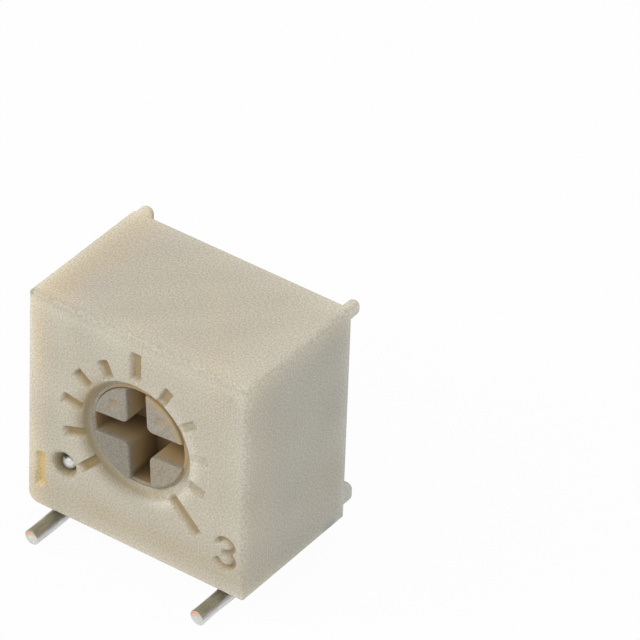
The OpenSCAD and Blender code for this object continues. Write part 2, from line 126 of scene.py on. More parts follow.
# The engraved marks, from the lower left round to the lower right: inner and outer radius, depth
MARK_DEPTH = 0.12
MARKS = [(1.6, 2.25, MARK_DEPTH), (1.6, 2.2, MARK_DEPTH), (1.65, 2.2, MARK_DEPTH),
         (1.72, 2.2, MARK_DEPTH), (1.72, 2.2, MARK_DEPTH), (1.84, 2.62, 0.108), (1.7, 2.2, 0.1),
         (1.75, 2.2, 0.06), (1.75, 2.2, 0.035), (1.72, 2.2, 0.06), (1.66, 2.74, 0.108)]
MARK_START = math.radians(225)
MARK_STEP = math.radians(27)
MARK_HALF = 0.12
DIGIT_DEPTH = 0.1
ONE_X, ONE_Z = -2.9, 1.16
THREE_X, THREE_Z = 2.735, 1.275
WINDOW = (-2.2, 1.57)
WINDOW_R = 0.35


def smooth(x):
    """0 below 0, 1 above 1, and 3x^2 - 2x^3 between."""
    x = np.clip(x, 0, 1)
    return x * x * (3 - 2 * x)


def step(room, soft):
    """0 where room is below -soft / 2, 1 where it is above soft / 2, and smooth between."""
    return smooth(room / soft + 0.5)


def bell(size, *offsets):
    """1 in the middle, and less outwards: e to minus the squared distance over size squared."""
    return np.exp(-sum(offset ** 2 for offset in offsets) / size ** 2)


def ripple(x, y, scale, seed):
    """A gentle field, mostly between -1 and 1: seven sines over the root of their number, whose
    directions and phases come from a seeded draw, each with a wavelength near scale."""
    draw = np.random.default_rng(seed)
    total = np.zeros(np.broadcast(x, y).shape)
    waves = 7
    for _ in range(waves):
        way = draw.uniform(0, 2 * math.pi)
        length = scale * draw.uniform(0.6, 1.6)
        phase = draw.uniform(0, 2 * math.pi)
        total = total + np.sin(2 * math.pi * (x * math.cos(way) + y * math.sin(way)) / length + phase)
    return total / math.sqrt(waves)


def unit(angle):
    """Directions of length 1, from +X towards +Z."""
    return np.stack([np.cos(angle), np.sin(angle)], axis=-1)


def one_long(vectors):
    """The same directions with length 1."""
    return vectors / np.linalg.norm(vectors, axis=-1, keepdims=True)


def points_at(x, t, z):
    """Points from their coordinates, each a number or an array."""
    return np.stack(np.broadcast_arrays(x, t, z), axis=-1)


def turned(profile, angle):
    """A profile of depths and radii carried round the rotor axis, one ring for each of its rows."""
    t, r = np.array(profile).T[..., None]
    return points_at(r * np.cos(angle), t, r * np.sin(angle) + ROTOR_Z)


def grid_quads(rows, columns, wrap_rows=False):
    """Corner numbers of the cells of a grid of closed rings, numbered ring by ring."""
    i, j = np.meshgrid(np.arange(rows if wrap_rows else rows - 1), np.arange(columns), indexing="ij")
    down, right = (i + 1) % rows, (j + 1) % columns
    quads = [i * columns + j, i * columns + right, down * columns + right, down * columns + j]
    return np.stack(quads, axis=-1).reshape(-1, 4)


def put(name, data):
    """A new object in the scene."""
    thing = bpy.data.objects.new(name, data)
    bpy.context.scene.collection.objects.link(thing)
    return thing


class Shell:
    """Points, faces and a cavity value for each point, gathered from several surfaces. On the case
    and the rotor the cavity value is the strength of painted shade, from 0 in the open to 1 deep
    in a hole; on the wires it is the copper at the cut, and on the potting its thin, lighter edge."""

    def __init__(self):
        self.points, self.cavity, self.faces, self.count = [], [], [], 0

    def add(self, points, faces, cavity=0.0):
        """points is an array in case coordinates, faces a list of corner-number arrays."""
        points = np.asarray(points, float).reshape(-1, 3)
        self.points.append(points)
        self.cavity.append(np.broadcast_to(np.asarray(cavity, float).ravel(), (len(points),)))
        self.faces += [block + self.count for block in faces]
        self.count += len(points)

    def build(self, name, material, crease=35, tint=None):
        """One mesh object in the frame's metres, outward faces, sharp above crease degrees.
        tint gives a colour factor for every point, which the material multiplies in: painted light
        and shade, and on the case also its own tone, rubs and stains."""
        points = np.concatenate(self.points)
        places = points + [0, FRONT_Y, BASE_Z]
        mesh = bpy.data.meshes.new(name)
        faces = [face for block in self.faces for face in block.tolist()]
        mesh.from_pydata((places * MM).tolist(), [], faces)
        layer = mesh.attributes.new("cavity", "FLOAT", "POINT")
        layer.data.foreach_set("value", np.concatenate(self.cavity).astype(np.float32))
        if tint is not None:
            colour = np.ones((len(points), 4), np.float32)
            colour[:, :3] = tint(points)
            layer = mesh.attributes.new("tint", "FLOAT_COLOR", "POINT")
            layer.data.foreach_set("color", colour.ravel())
        mesh.polygons.foreach_set("use_smooth", np.ones(len(mesh.polygons), bool))
        mesh.set_sharp_from_angle(angle=math.radians(crease))
        mesh.materials.append(material)
        mesh.update()
        return put(name, mesh)


def loft(shell, rings, cavity=0.0, flip=False):
    """Joins closed rings (rows by columns by 3) into a wall, and closes the first and the last
    with a fan round the mean of its points."""
    rows, columns = rings.shape[:2]
    faces = grid_quads(rows, columns)
    sets = [faces[:, ::-1] if flip else faces]
    column = np.arange(columns)
    following = (column + 1) % columns
    tips = []
    for row, turn_over in ((0, not flip), (rows - 1, flip)):
        tip = np.full(columns, rows * columns + len(tips))
        fan = np.stack([column + row * columns, following + row * columns, tip], axis=-1)
        sets.append(fan[:, ::-1] if turn_over else fan)
        tips.append(rings[row].mean(0))
    value = np.broadcast_to(np.asarray(cavity, float), rings.shape[:2]).ravel()
    shell.add(np.concatenate([rings.reshape(-1, 3), tips]), sets, np.append(value, [value[-1]] * 2))


# Camera and light


def make_camera():
    """The photograph's view: azimuth, elevation and roll of the line from the case's middle to
    the camera, the distance, and how far the camera is shifted sideways and up from that line."""
    azimuth, elevation, roll = (math.radians(a) for a in (34.52, 36.76, 2.15))
    lens, distance, aside, above = 381.5, 165.86, 3.227, 2.072
    back = Vector((math.sin(azimuth) * math.cos(elevation),
                   -math.cos(azimuth) * math.cos(elevation), math.sin(elevation)))
    level = Vector((math.cos(azimuth), math.sin(azimuth), 0))
    lift = back.cross(level)
    right = level * math.cos(roll) + lift * math.sin(roll)
    up = lift * math.cos(roll) - level * math.sin(roll)
    middle = Vector((0, FRONT_Y + BODY_D / 2, BASE_Z + BODY_H / 2))
    place = (middle + back * distance + right * aside + up * above) * MM
    data = bpy.data.cameras.new("camera")
    data.lens, data.sensor_width = lens, 36
    data.clip_start, data.clip_end = 0.01, 5
    camera = put("camera", data)
    turn = Matrix((right, up, back)).transposed()
    camera.matrix_world = Matrix.Translation(place) @ turn.to_4x4()
    bpy.context.scene.camera = camera


def area_light(name, toward, distance, size, watts):
    """A square lamp that looks at the case from the direction toward."""
    data = bpy.data.lights.new(name, "AREA")
    data.size, data.energy = size * MM, watts
    lamp = put(name, data)
    way = Vector(toward).normalized()
    lamp.location = Vector((0, 0, BASE_Z + BODY_H / 2)) * MM + way * distance * MM
    lamp.rotation_mode = "QUATERNION"
    lamp.rotation_quaternion = way.to_track_quat("Z", "Y")


def add_node(tree, kind, inputs=None, **settings):
    """A shader node with its settings. An input is given as its value, or as the output that
    is linked to it."""
    node = tree.nodes.new("ShaderNode" + kind)
    for name, value in settings.items():
        setattr(node, name, value)
    for socket, value in (inputs or {}).items():
        if isinstance(value, bpy.types.NodeSocket):
            tree.links.new(value, node.inputs[socket])
        else:
            node.inputs[socket].default_value = value
    return node


def seen_by(tree, *rays):
    """1 for two kinds of ray and 0 for the rest."""
    path = add_node(tree, "LightPath")
    inputs = {i: path.outputs[f"Is {ray} Ray"] for i, ray in enumerate(rays)}
    return add_node(tree, "Math", inputs, operation="MAXIMUM").outputs[0]


def make_world(strength):
    """Even white light, and full white where the camera looks past the object or through it."""
    world = bpy.data.worlds.new("world")
    world.use_nodes = True
    tree = world.node_tree
    background = tree.nodes["Background"]
    background.inputs["Color"].default_value = (1, 1, 1, 1)
    seen = seen_by(tree, "Camera", "Transmission")
    level = add_node(tree, "MapRange", {"Value": seen, "To Min": strength, "To Max": 1.0})
    tree.links.new(level.outputs["Result"], background.inputs["Strength"])
    bpy.context.scene.world = world


def make_floor():
    """A pale floor at the leads' foot: white to the camera apart from the object's shadow, and
    clear from below."""
    half = 400 * MM
    mesh = bpy.data.meshes.new("floor")
    mesh.from_pydata([(-half, -half, 0), (half, -half, 0), (half, half, 0), (-half, half, 0)],
                     [], [(0, 1, 2, 3)])
    material = bpy.data.materials.new("floor_white")
    material.use_nodes = True
    tree = material.node_tree
    matt = tree.nodes["Principled BSDF"]
    matt.inputs["Base Color"].default_value = (0.82, 0.82, 0.82, 1)
    matt.inputs["Roughness"].default_value = 0.9
    matt.inputs["Specular IOR Level"].default_value = 0.0
    white = add_node(tree, "Emission", {"Color": (0.995, 0.995, 0.995, 1)})
    share = add_node(tree, "Math", {0: seen_by(tree, "Camera", "Glossy"), 1: 0.97}, operation="MULTIPLY")
    above = add_node(tree, "MixShader", {"Fac": share.outputs[0], 1: matt.outputs["BSDF"],
                                         2: white.outputs["Emission"]})
    underneath = add_node(tree, "NewGeometry").outputs["Backfacing"]
    clear = add_node(tree, "BsdfTransparent").outputs["BSDF"]
    mix = add_node(tree, "MixShader", {"Fac": underneath, 1: above.outputs["Shader"], 2: clear})
    tree.links.new(mix.outputs["Shader"], tree.nodes["Material Output"].inputs["Surface"])
    mesh.materials.append(material)
    put("floor", mesh)


# Materials


class Finish:
    """A node material with short ways to add the patterns that this object's finishes share."""

    def __init__(self, name, roughness, metallic=0.0, specular=0.5):
        self.material = bpy.data.materials.new(name)
        self.material.use_nodes = True
        self.tree = self.material.node_tree
        self.shader = self.tree.nodes["Principled BSDF"]
        self.shader.inputs["Roughness"].default_value = roughness
        self.shader.inputs["Metallic"].default_value = metallic
        self.shader.inputs["Specular IOR Level"].default_value = specular
        self.place = add_node(self.tree, "TexCoord").outputs["Object"]

    def noise(self, size, detail=3.0, stretch=(1, 1, 1)):
        """Noise with features of about size millimetres, longer along an axis whose stretch is
        over 1."""
        scale = [1 / (size * MM * s) for s in stretch]
        place = add_node(self.tree, "Mapping", {"Scale": scale, "Vector": self.place})
        inputs = {"Scale": 1.0, "Detail": detail, "Vector": place.outputs["Vector"]}
        return add_node(self.tree, "TexNoise", inputs).outputs["Fac"]

    def read(self, name, output="Fac"):
        """What the mesh holds for each point under a name."""
        return add_node(self.tree, "Attribute", attribute_name=name).outputs[output]

    def level(self, value, low, high, to_low=0, to_high=1):
        """value from low..high carried to to_low..to_high, held at the ends."""
        inputs = {"Value": value, "From Min": low, "From Max": high, "To Min": to_low, "To Max": to_high}
        return add_node(self.tree, "MapRange", inputs).outputs["Result"]

    def blend(self, amount, below, above, way="MIX"):
        """Colour below where amount is 0 and above where it is 1."""
        inputs = {"Factor": amount, "A": below, "B": above}
        return add_node(self.tree, "Mix", inputs, data_type="RGBA", blend_type=way).outputs["Result"]

    def tinted(self, colour):
        """colour multiplied by the mesh's tint, which holds painted light and shade."""
        return self.blend(1.0, colour, self.read("tint", "Color"), "MULTIPLY")

    def painted_hollow_shade(self, colour, half_deep, deep):
        """colour in the open, and two painted shade colours where the cavity value is 0.5 and 1."""
        cavity = self.read("cavity")
        colour = self.blend(self.level(cavity, 0, 0.5), colour, half_deep)
        return self.blend(self.level(cavity, 0.5, 1), colour, deep)

    def bump(self, height, depth):
        """Relief of the given depth in millimetres, on top of any relief added before."""
        node = add_node(self.tree, "Bump", {"Strength": 1.0, "Distance": depth * MM, "Height": height})
        before = self.shader.inputs["Normal"]
        if before.is_linked:
            self.tree.links.new(before.links[0].from_socket, node.inputs["Normal"])
        self.tree.links.new(node.outputs["Normal"], before)

    def set(self, socket, value):
        self.tree.links.new(value, self.shader.inputs[socket])


def srgb(red, green, blue):
    """A screen colour of 0 to 255 as the linear colour that renders to it."""
    def linear(value):
        value = value / 255
        return value / 12.92 if value <= 0.04045 else ((value + 0.055) / 1.055) ** 2.4
    return (linear(red), linear(green), linear(blue), 1)


def case_finish():
    """Cream moulding: faint mottle and fine grain, with painted ochre shade where the surface is
    engraved and painted brown shade deep in the holes."""
    finish = Finish("cream_moulding", 0.66, specular=0.3)
    mottle = finish.level(finish.noise(0.9, 4), 0.35, 0.65)
    grain = finish.level(finish.noise(0.05, 1), 0.25, 0.75)
    cream = finish.blend(mottle, srgb(181, 175, 158), srgb(187, 181, 164))
    grained = finish.blend(grain, srgb(160, 152, 133), srgb(208, 204, 190))
    # Painted shade by the cavity value: ochre in the engraving, brown deep in the holes
    cream = finish.painted_hollow_shade(finish.blend(0.7, cream, grained), srgb(146, 126, 86), srgb(96, 74, 50))
    finish.set("Base Color", finish.tinted(cream))
    finish.bump(finish.noise(0.05, 3), 0.006)
    finish.bump(finish.noise(0.6, 2), 0.012)
    return finish.material


def rotor_finish():
    """Greyer beige moulding, with painted ochre shade down the slot's walls and painted brown shade
    at its bottom.
    """
    finish = Finish("beige_moulding", 0.62, specular=0.3)
    grain = finish.level(finish.noise(0.04, 2), 0.25, 0.75)
    beige = finish.blend(grain, srgb(120, 112, 99), srgb(158, 149, 136))
    # Painted shade by the cavity value: ochre down the slot's walls, brown at its bottom
    beige = finish.painted_hollow_shade(beige, srgb(162, 138, 98), srgb(130, 104, 76))
    finish.set("Base Color", finish.tinted(beige))
    finish.bump(finish.noise(0.05, 3), 0.004)
    return finish.material


def tin_finish():
    """Dull tin plate with fine drawing lines along the wire, and copper at the cut end."""
    finish = Finish("tin_plate", 0.36, metallic=0.7)
    lines = finish.level(finish.noise(0.035, 4, (1, 10, 1)), 0.3, 0.7)
    patches = finish.level(finish.noise(0.25, 3, (1, 2, 1)), 0.35, 0.65)
    grey = finish.blend(lines, srgb(166, 163, 153), srgb(210, 209, 204))
    worn = finish.blend(finish.level(patches, 0, 1, 0, 0.5), grey, srgb(180, 176, 162))
    copper = srgb(232, 158, 122)
    finish.set("Base Color", finish.blend(finish.read("cavity"), finish.tinted(worn), copper))
    finish.set("Roughness", finish.level(patches, 0, 1, 0.3, 0.5))
    finish.bump(finish.noise(0.035, 4, (1, 12, 1)), 0.01)
    return finish.material


def epoxy_finish():
    """Satin blue potting, lighter where it thins out at its edge."""
    finish = Finish("blue_potting", 0.46, specular=0.3)
    cloud = finish.level(finish.noise(1.1, 3), 0.35, 0.65)
    blue = finish.blend(cloud, srgb(28, 73, 132), srgb(34, 83, 147))
    finish.set("Base Color", finish.blend(finish.read("cavity"), blue, srgb(26, 106, 172)))
    finish.bump(finish.noise(0.08, 3), 0.004)
    finish.bump(finish.noise(0.9, 2), 0.02)
    return finish.material


def plain_finish(name, dark, light, size, roughness, metallic=0.0):
    """For the inner pieces: two close colours mixed by noise of one size, and its relief."""
    finish = Finish(name, roughness, metallic=metallic)
    cloud = finish.level(finish.noise(size, 3), 0.35, 0.65)
    finish.set("Base Color", finish.blend(cloud, (*dark, 1), (*light, 1)))
    finish.bump(finish.noise(size, 3), 0.003)
    return finish.material


# Case


def around():
    """Angles round the rotor axis, from +X towards +Z: an even sweep, closer steps across the
    two digits and the window, and a pair of steps at each long edge under the base."""
    wide, fine, closest = 0.7, 0.3, 0.0012
    sweeps = np.concatenate([np.arange(0, 360, wide), np.arange(206, 233, fine), np.arange(307, 331, fine)])
    edges = np.array([MID_SLOT_HALF, RAIL_IN, RAIL_OUT, LEAD_X - CHANNEL_HALF, LEAD_X + CHANNEL_HALF])
    edges = np.concatenate([edges, -edges])
    pairs = np.concatenate([edges - PAIR_HALF, edges + PAIR_HALF])
    angles = np.concatenate([np.radians(sweeps), np.arctan2(-ROTOR_Z, pairs) % (2 * math.pi)])
    angles = np.unique(np.round(angles, 5))
    return angles[np.append(True, np.diff(angles) > closest)]


def case_outline(angle):
    """Where a ray from the rotor axis meets the case's outline, and the outward direction there:
    the ray's point on the sharp rectangle, moved onto the corner's arc where it is past it."""
    way = unit(angle)
    with np.errstate(divide="ignore"):
        reach_x = HALF_W / np.abs(way[:, 0])
        reach_z = np.where(way[:, 1] > 0, BODY_H - ROTOR_Z, ROTOR_Z) / np.abs(way[:, 1])
    point = way * np.minimum(reach_x, reach_z)[:, None] + CENTRE
    at_side = (reach_x < reach_z)[:, None]
    normal = np.where(at_side, np.sign(way) * (1, 0), np.sign(way) * (0, 1))
    quarter = np.floor((angle % (2 * math.pi)) / (math.pi / 2)).astype(int) % 4
    radius = np.array(EDGE_R)[quarter]
    inner_x = HALF_W - radius
    centre_z = np.where(point[:, 1] > ROTOR_Z, BODY_H - radius, radius)
    centre = np.stack([np.sign(point[:, 0]) * inner_x, centre_z], axis=-1)
    past = (np.abs(point[:, 0]) > inner_x) & ((point[:, 1] > BODY_H - radius) | (point[:, 1] < radius))
    off = point - centre
    off = off / np.maximum(np.linalg.norm(off, axis=1), 1e-9)[:, None]
    point = np.where(past[:, None], centre + off * radius[:, None], point)
    normal = np.where(past[:, None], off, normal)
    return point, normal


def front_radius(outline):
    """Radius of the front face's edge round the outline: crisp at the left and below, softer
    upwards and to the right, and never more than the long edge's own radius at a corner."""
    x, z = outline.T
    crisp_r, soft_more, low_share = 0.05, 0.11, 0.15
    upwards = low_share + (1 - low_share) * smooth((z - 0.1) / 1.0)
    return crisp_r + soft_more * smooth((x + 3.1) / 1.6) * upwards


def well_outline(angle):
    """Where the same ray meets the well: the nearest of four walls and the gusset's slope, and
    in each side wall a shallow round notch."""
    way = unit(angle)
    half = HALF_W - SIDE_WALL
    top = BODY_H - TOP_WALL - ROTOR_Z
    floor = ROTOR_Z - BASE_WALL
    slope = np.array([-1, 1]) / math.sqrt(2)
    slope_reach = (half - GUSSET_LEG + top) / math.sqrt(2)
    planes = [((1, 0), half), ((-1, 0), half), ((0, 1), top), ((0, -1), floor), (slope, slope_reach)]
    reach = np.full(len(angle), 1e9)
    for normal, distance in planes:
        along = way @ np.asarray(normal, float)
        with np.errstate(divide="ignore"):
            reach = np.where(along > 1e-6, np.minimum(reach, distance / along), reach)
    point = way * reach[:, None] + CENTRE
    notch_depth, notch_z, notch_half = 0.13, 3.25, 0.48
    notch = notch_depth * np.sqrt(np.clip(1 - ((point[:, 1] - notch_z) / notch_half) ** 2, 0, 1))
    side = np.abs(point[:, 0]) > half - 0.01
    point[:, 0] += np.where(side, np.sign(point[:, 0]) * notch, 0)
    return point


def digit_three():
    """Points along the middle line of a 3: two part ellipses, the lower one larger."""
    upper_half, lower_half = np.array([0.225, 0.19]), np.array([0.25, 0.225])
    upper = unit(np.radians(np.linspace(155, -90, 40))) * upper_half + (THREE_X, THREE_Z + upper_half[1])
    lower = unit(np.radians(np.linspace(90, -155, 44))) * lower_half + (THREE_X, THREE_Z - lower_half[1])
    return np.concatenate([upper, lower])


def marks(x, z):
    """Depth of the marks and digits with steep sides. A mark is a bar along its radius: its
    depth times a soft step across its width and one at each end. A digit is a soft step
    in the distance from its middle line."""
    soft, run_out = 0.05, 0.12
    one_half, one_tall, stroke_half, far = 0.09, 0.48, 0.06, 1.0
    depth = np.zeros_like(x)
    for i, (inner, outer, deep) in enumerate(MARKS):
        angle = MARK_START - i * MARK_STEP
        along = (x - DIAL[0]) * math.cos(angle) + (z - DIAL[1]) * math.sin(angle)
        across = np.abs((z - DIAL[1]) * math.cos(angle) - (x - DIAL[0]) * math.sin(angle))
        bar = step(MARK_HALF - across, soft) * step(outer - along, soft) * step(along - inner, run_out)
        depth = np.maximum(depth, deep * bar)
    one = step(one_half - np.abs(x - ONE_X), soft) * step(one_tall - np.abs(z - ONE_Z), soft)
    near = np.full(x.shape, far)
    close = (np.abs(x - THREE_X) < 0.6) & (np.abs(z - THREE_Z) < 0.8)
    spots = np.stack([x[close], z[close]], -1)
    near[close] = np.sqrt(((spots[:, None, :] - digit_three()[None]) ** 2).sum(-1)).min(1)
    three = step(stroke_half - near, soft)
    return np.maximum(depth, DIGIT_DEPTH * np.maximum(one, three))


def engraving(x, z):
    """The marks with drafted lower left sides: the deepest of the steep marks and of eight
    copies of them, each moved a little further down and left and shallower than the last."""
    copies, shift_x, shift_z = 8, 0.013, 0.016
    depth = marks(x, z)
    for i in range(1, copies + 1):
        depth = np.maximum(depth, (1 - i / (copies + 1)) * marks(x + shift_x * i, z + shift_z * i))
    return depth


def window_shape(points):
    """Sinks the points inside the window into a funnel that leans down and outwards: the
    nearer the middle the deeper, over a soft rim. Also gives each point's painted shade, darker
    deeper in the funnel."""
    away = np.linalg.norm(points[..., [0, 2]] - np.array(WINDOW), axis=-1) / WINDOW_R
    sink = np.interp(away, [0, 0.45, 0.75, 0.93, 1.05, 1.3], [0.55, 0.5, 0.34, 0.13, 0.03, 0])
    sink = np.where(away < 1.25, sink, 0)
    lean = np.clip(sink - 0.1, 0, 0.5)
    lean_x, lean_z = -0.3, -0.4
    hollow = np.interp(sink, [0, 0.05, 0.3, 0.55], [0, 0.12, 0.3, 0.66])
    return points + points_at(lean_x * lean, sink, lean_z * lean), hollow


def under_base(x, t):
    """How far the underside stands above the base plane: rails hang down, channels and the
    middle slot go up, each with a steep soft step at its edge."""
    soft, channel_rise, slot_rise = 0.03, 0.3, 0.6
    width = np.abs(x)

    def band(low, high, front):
        return step(width - low, soft) * step(high - width, soft) * step(t - front, soft)
    rails = band(RAIL_IN, RAIL_OUT, RAIL_FRONT)
    channels = band(LEAD_X - CHANNEL_HALF, LEAD_X + CHANNEL_HALF, CHANNEL_FRONT)
    slot = step(MID_SLOT_HALF - width, soft) * step(t - MID_SLOT_FRONT, soft)
    return -RAIL_H * rails + channel_rise * channels + slot_rise * slot


class Tube:
    """Rings round the rotor axis and their cavity values, laid one after another."""

    def __init__(self, angle):
        self.angle, self.circle = angle, unit(angle)
        self.rings, self.cavity = [], []

    def lay(self, places, depth, cavity=0.0):
        """places is n by 2, in x and z."""
        self.rings.append(points_at(places[:, 0], depth, places[:, 1]))
        self.cavity.append(np.broadcast_to(cavity, self.angle.shape))


def lower_left(angle):
    """1 round the lower left of the dial and 0 round its upper right."""
    return smooth(0.525 + 0.625 * np.cos(angle - math.radians(200)))


def lay_bore(tube):
    """The bore's wall and its rim, which is a soft slope at the lower left, and a flat ledge with
    a crisp edge at the upper right. The rim's outer edge is a circle round the dial's middle.
    The cavity values are painted shade: dark down the wall, and ochre over the lower left slope
    and on the ledge."""
    wall = CENTRE + tube.circle * BORE_R
    # Painted shade down the bore's wall, darkest deepest
    for depth, hollow in ((FRONT_WALL, 1), (0.5, 0.9), (0.36, 0.75), (0.26, 0.6), (0.19, 0.5)):
        tube.lay(wall, depth, hollow)
    left = lower_left(tube.angle)
    crisp = np.interp(np.degrees(tube.angle), [0, 15, 80, 105, 135, 320, 335, 360],
                      [0.8, 1, 1, 0.5, 0, 0, 0.3, 0.8])
    # Painted shade where the rim meets the wall, then over the lower left slope and the ledge
    tube.lay(wall, RIM_DEPTH + 0.002, np.maximum(0.3 * left, 0.45 * crisp))
    for out in (0, 0.08, 0.2, 0.4, 0.65, 1):
        middle = CENTRE + (DIAL - CENTRE) * np.maximum(out, crisp)[:, None]
        reach = BORE_R + RIM_WIDTH * (out + 0.85 * (1 - out) * crisp)
        slope = left * np.interp(out, [0, 0.4, 0.7, 1], [0.3, 0.42, 0.4, 0.12])
        ledge = crisp * np.interp(out, [0, 0.3, 1], [0.5, 0.45, 0])
        tube.lay(middle + tube.circle * reach[:, None], RIM_DEPTH * (1 - out) ** 1.5,
                 np.maximum(slope, ledge))


def lay_well(tube):
    """The well's round edge and walls, down to the seat, and the room for flange and lug."""
    well = well_outline(tube.angle)
    inward = one_long(CENTRE - well)
    tube.lay(well - inward * REAR_R, BODY_D)
    for turn in np.radians([30, 60, 90]):
        tube.lay(well - inward * REAR_R * (1 - math.sin(turn)), BODY_D - REAR_R * (1 - math.cos(turn)))
    for depth in (BODY_D - 0.3, SEAT_T):
        tube.lay(well, depth)
    for depth in (SEAT_T, FRONT_WALL):
        tube.lay(CENTRE + tube.circle * (LUG_R + LUG_ROOM), depth)


def carve_front(front, cavity, face_start, angle):
    """Cuts the marks, the digits and the window into the rings of the bore and the face, and paints
    shade into them and onto the rim's lower left edge. The 1, where light shines through the thin
    left wall, gets less painted shade."""
    x, t, z = np.moveaxis(front, -1, 0)
    carved = engraving(x, z)
    t[:] = np.maximum(t, carved)
    # Painted ochre shade in the marks and digits, less at the left, and painted shade on the rim's lower
    # left edge
    share = np.clip(carved / MARK_DEPTH, 0, 1)
    at_left = smooth((-2.4 - x) / 0.2)
    reach = np.hypot(x - DIAL[0], z - DIAL[1])
    rim_edge_shade = smooth(1 - np.abs(reach - BORE_R - RIM_WIDTH) / 0.1) * (t < 0.2) * lower_left(angle)
    shade = np.maximum(0.46 * share ** 1.3 * (1 - 0.55 * at_left), 0.12 * rim_edge_shade)
    np.maximum(cavity, shade, out=cavity)
    front[face_start:], hollow = window_shape(front[face_start:])
    np.maximum(cavity[face_start:], hollow, out=cavity[face_start:])


def shape_underside(sides, cavity, normal):
    """Lowers the rails and raises the channels and the slot in the sides' rings, and paints shade
    into the channels and the slot and onto the base beside the rails. The last ring, within the
    rear face, has no rails."""
    x, t, z = np.moveaxis(sides, -1, 0)
    below = normal[:, 1] < -0.999
    rise = under_base(x, t) * below
    rise[-1] = np.maximum(rise[-1], 0)
    z += rise
    # Painted shade on the base along each rail's inner side, and in the raised channels and slot
    beside = RAIL_IN + PAIR_HALF - np.abs(x)
    rail_side_shade = np.exp(-np.clip(beside, 0, None) / 0.1) * (beside > -0.006) * below
    rail_side_shade = rail_side_shade * smooth((t - 0.4) / 0.1)
    shade = np.maximum(smooth(rise / 0.3), 0.42 * rail_side_shade)
    np.maximum(cavity, shade, out=cavity)


def make_case(material):
    """The case as one closed tube round the rotor axis. Its rings run from the bottom of the
    bore out over the rim, across the front face, round the front edge, back along the sides,
    over the rear rim, down the well and inside back to the bore."""
    tube = Tube(around())
    outline, normal = case_outline(tube.angle)
    lay_bore(tube)
    face_start = len(tube.rings)
    rim = DIAL + tube.circle * (BORE_R + RIM_WIDTH)
    soft_r = front_radius(outline)
    across = outline - normal * soft_r[:, None] - rim
    for share in np.linspace(0, 1, FACE_RINGS + 1)[1:]:
        tube.lay(rim + across * share, 0.0)
    face_end = len(tube.rings)
    for turn in np.radians([15, 30, 45, 60, 75, 90]):
        tube.lay(outline - normal * soft_r[:, None] * (1 - math.sin(turn)), soft_r * (1 - math.cos(turn)))
    side_start = len(tube.rings)
    for depth in SIDE_DEPTHS:
        tube.lay(outline, depth)
    for turn in np.radians([30, 60, 90]):
        tube.lay(outline - normal * REAR_R * (1 - math.cos(turn)), BODY_D - REAR_R * (1 - math.sin(turn)))
    for inset in (REAR_R + 0.01, REAR_R + 0.02):
        tube.lay(outline - normal * inset, BODY_D)
    side_end = len(tube.rings)
    lay_well(tube)

    grid, cavity = np.stack(tube.rings), np.stack(tube.cavity)
    carve_front(grid[:face_end], cavity[:face_end], face_start, tube.angle)
    shape_underside(grid[side_start:side_end], cavity[side_start:side_end], normal)
    shell = Shell()
    shell.add(grid, [grid_quads(len(grid), len(tube.angle), wrap_rows=True)], cavity)
    for low, high, inset in nubs():
        soft_block(shell, low, high, inset)
    return shell.build("case_moulding", material, tint=case_tone_and_painted_light)


# The screen colour that the plain moulding renders to, on average
CREAM = np.array([190, 184, 168])


def ramp(distance, rows):
    """Red, green and blue read off a table by distance. A row is a distance and its colour."""
    stops, *columns = zip(*rows)
    return np.stack([np.interp(distance, stops, column) for column in columns], axis=-1)


def painted_rim_light(x, t, z):
    """Painted light round the dial, x and z from its middle: painted shade, grey to ochre, outside
    the rim at the lower left, fainter inside a mark, and a painted highlight on the crest at the
    right."""
    reach, turn = np.hypot(x, z), np.degrees(np.arctan2(z, x)) % 360
    low_left = np.interp(turn, [110, 130, 157, 172, 243, 263, 280, 290], [0, 0.35, 0.6, 1, 1, 0.55, 0.3, 0])
    crest_highlight = np.interp(turn, [0, 20, 50, 110, 262, 288, 301, 360], [0.95, 0.5, 0.3, 0, 0, 0.6, 1, 0.95])
    low_left = low_left * (1 - 0.6 * smooth(t / 0.08) * (reach > 1.64)) * (t < 0.2)
    dark = ramp(reach, [(1.44, -8, 0, 14), (1.5, -20, -12, 2), (1.56, -25, -19, -12), (1.62, -25, -24, -24),
                        (1.72, -27, -30, -34), (1.8, -20, -20, -19), (1.9, -9, -9, -8), (2.1, 0, 0, 0)])
    light = ramp(reach, [(1.66, 0, 0, 0), (1.7, 20, 20, 23), (1.8, 20, 20, 21), (1.9, 10, 10, 10),
                         (2.05, 0, 0, 0)])
    return low_left[:, None] * dark + (crest_highlight * (t < 0.04))[:, None] * light


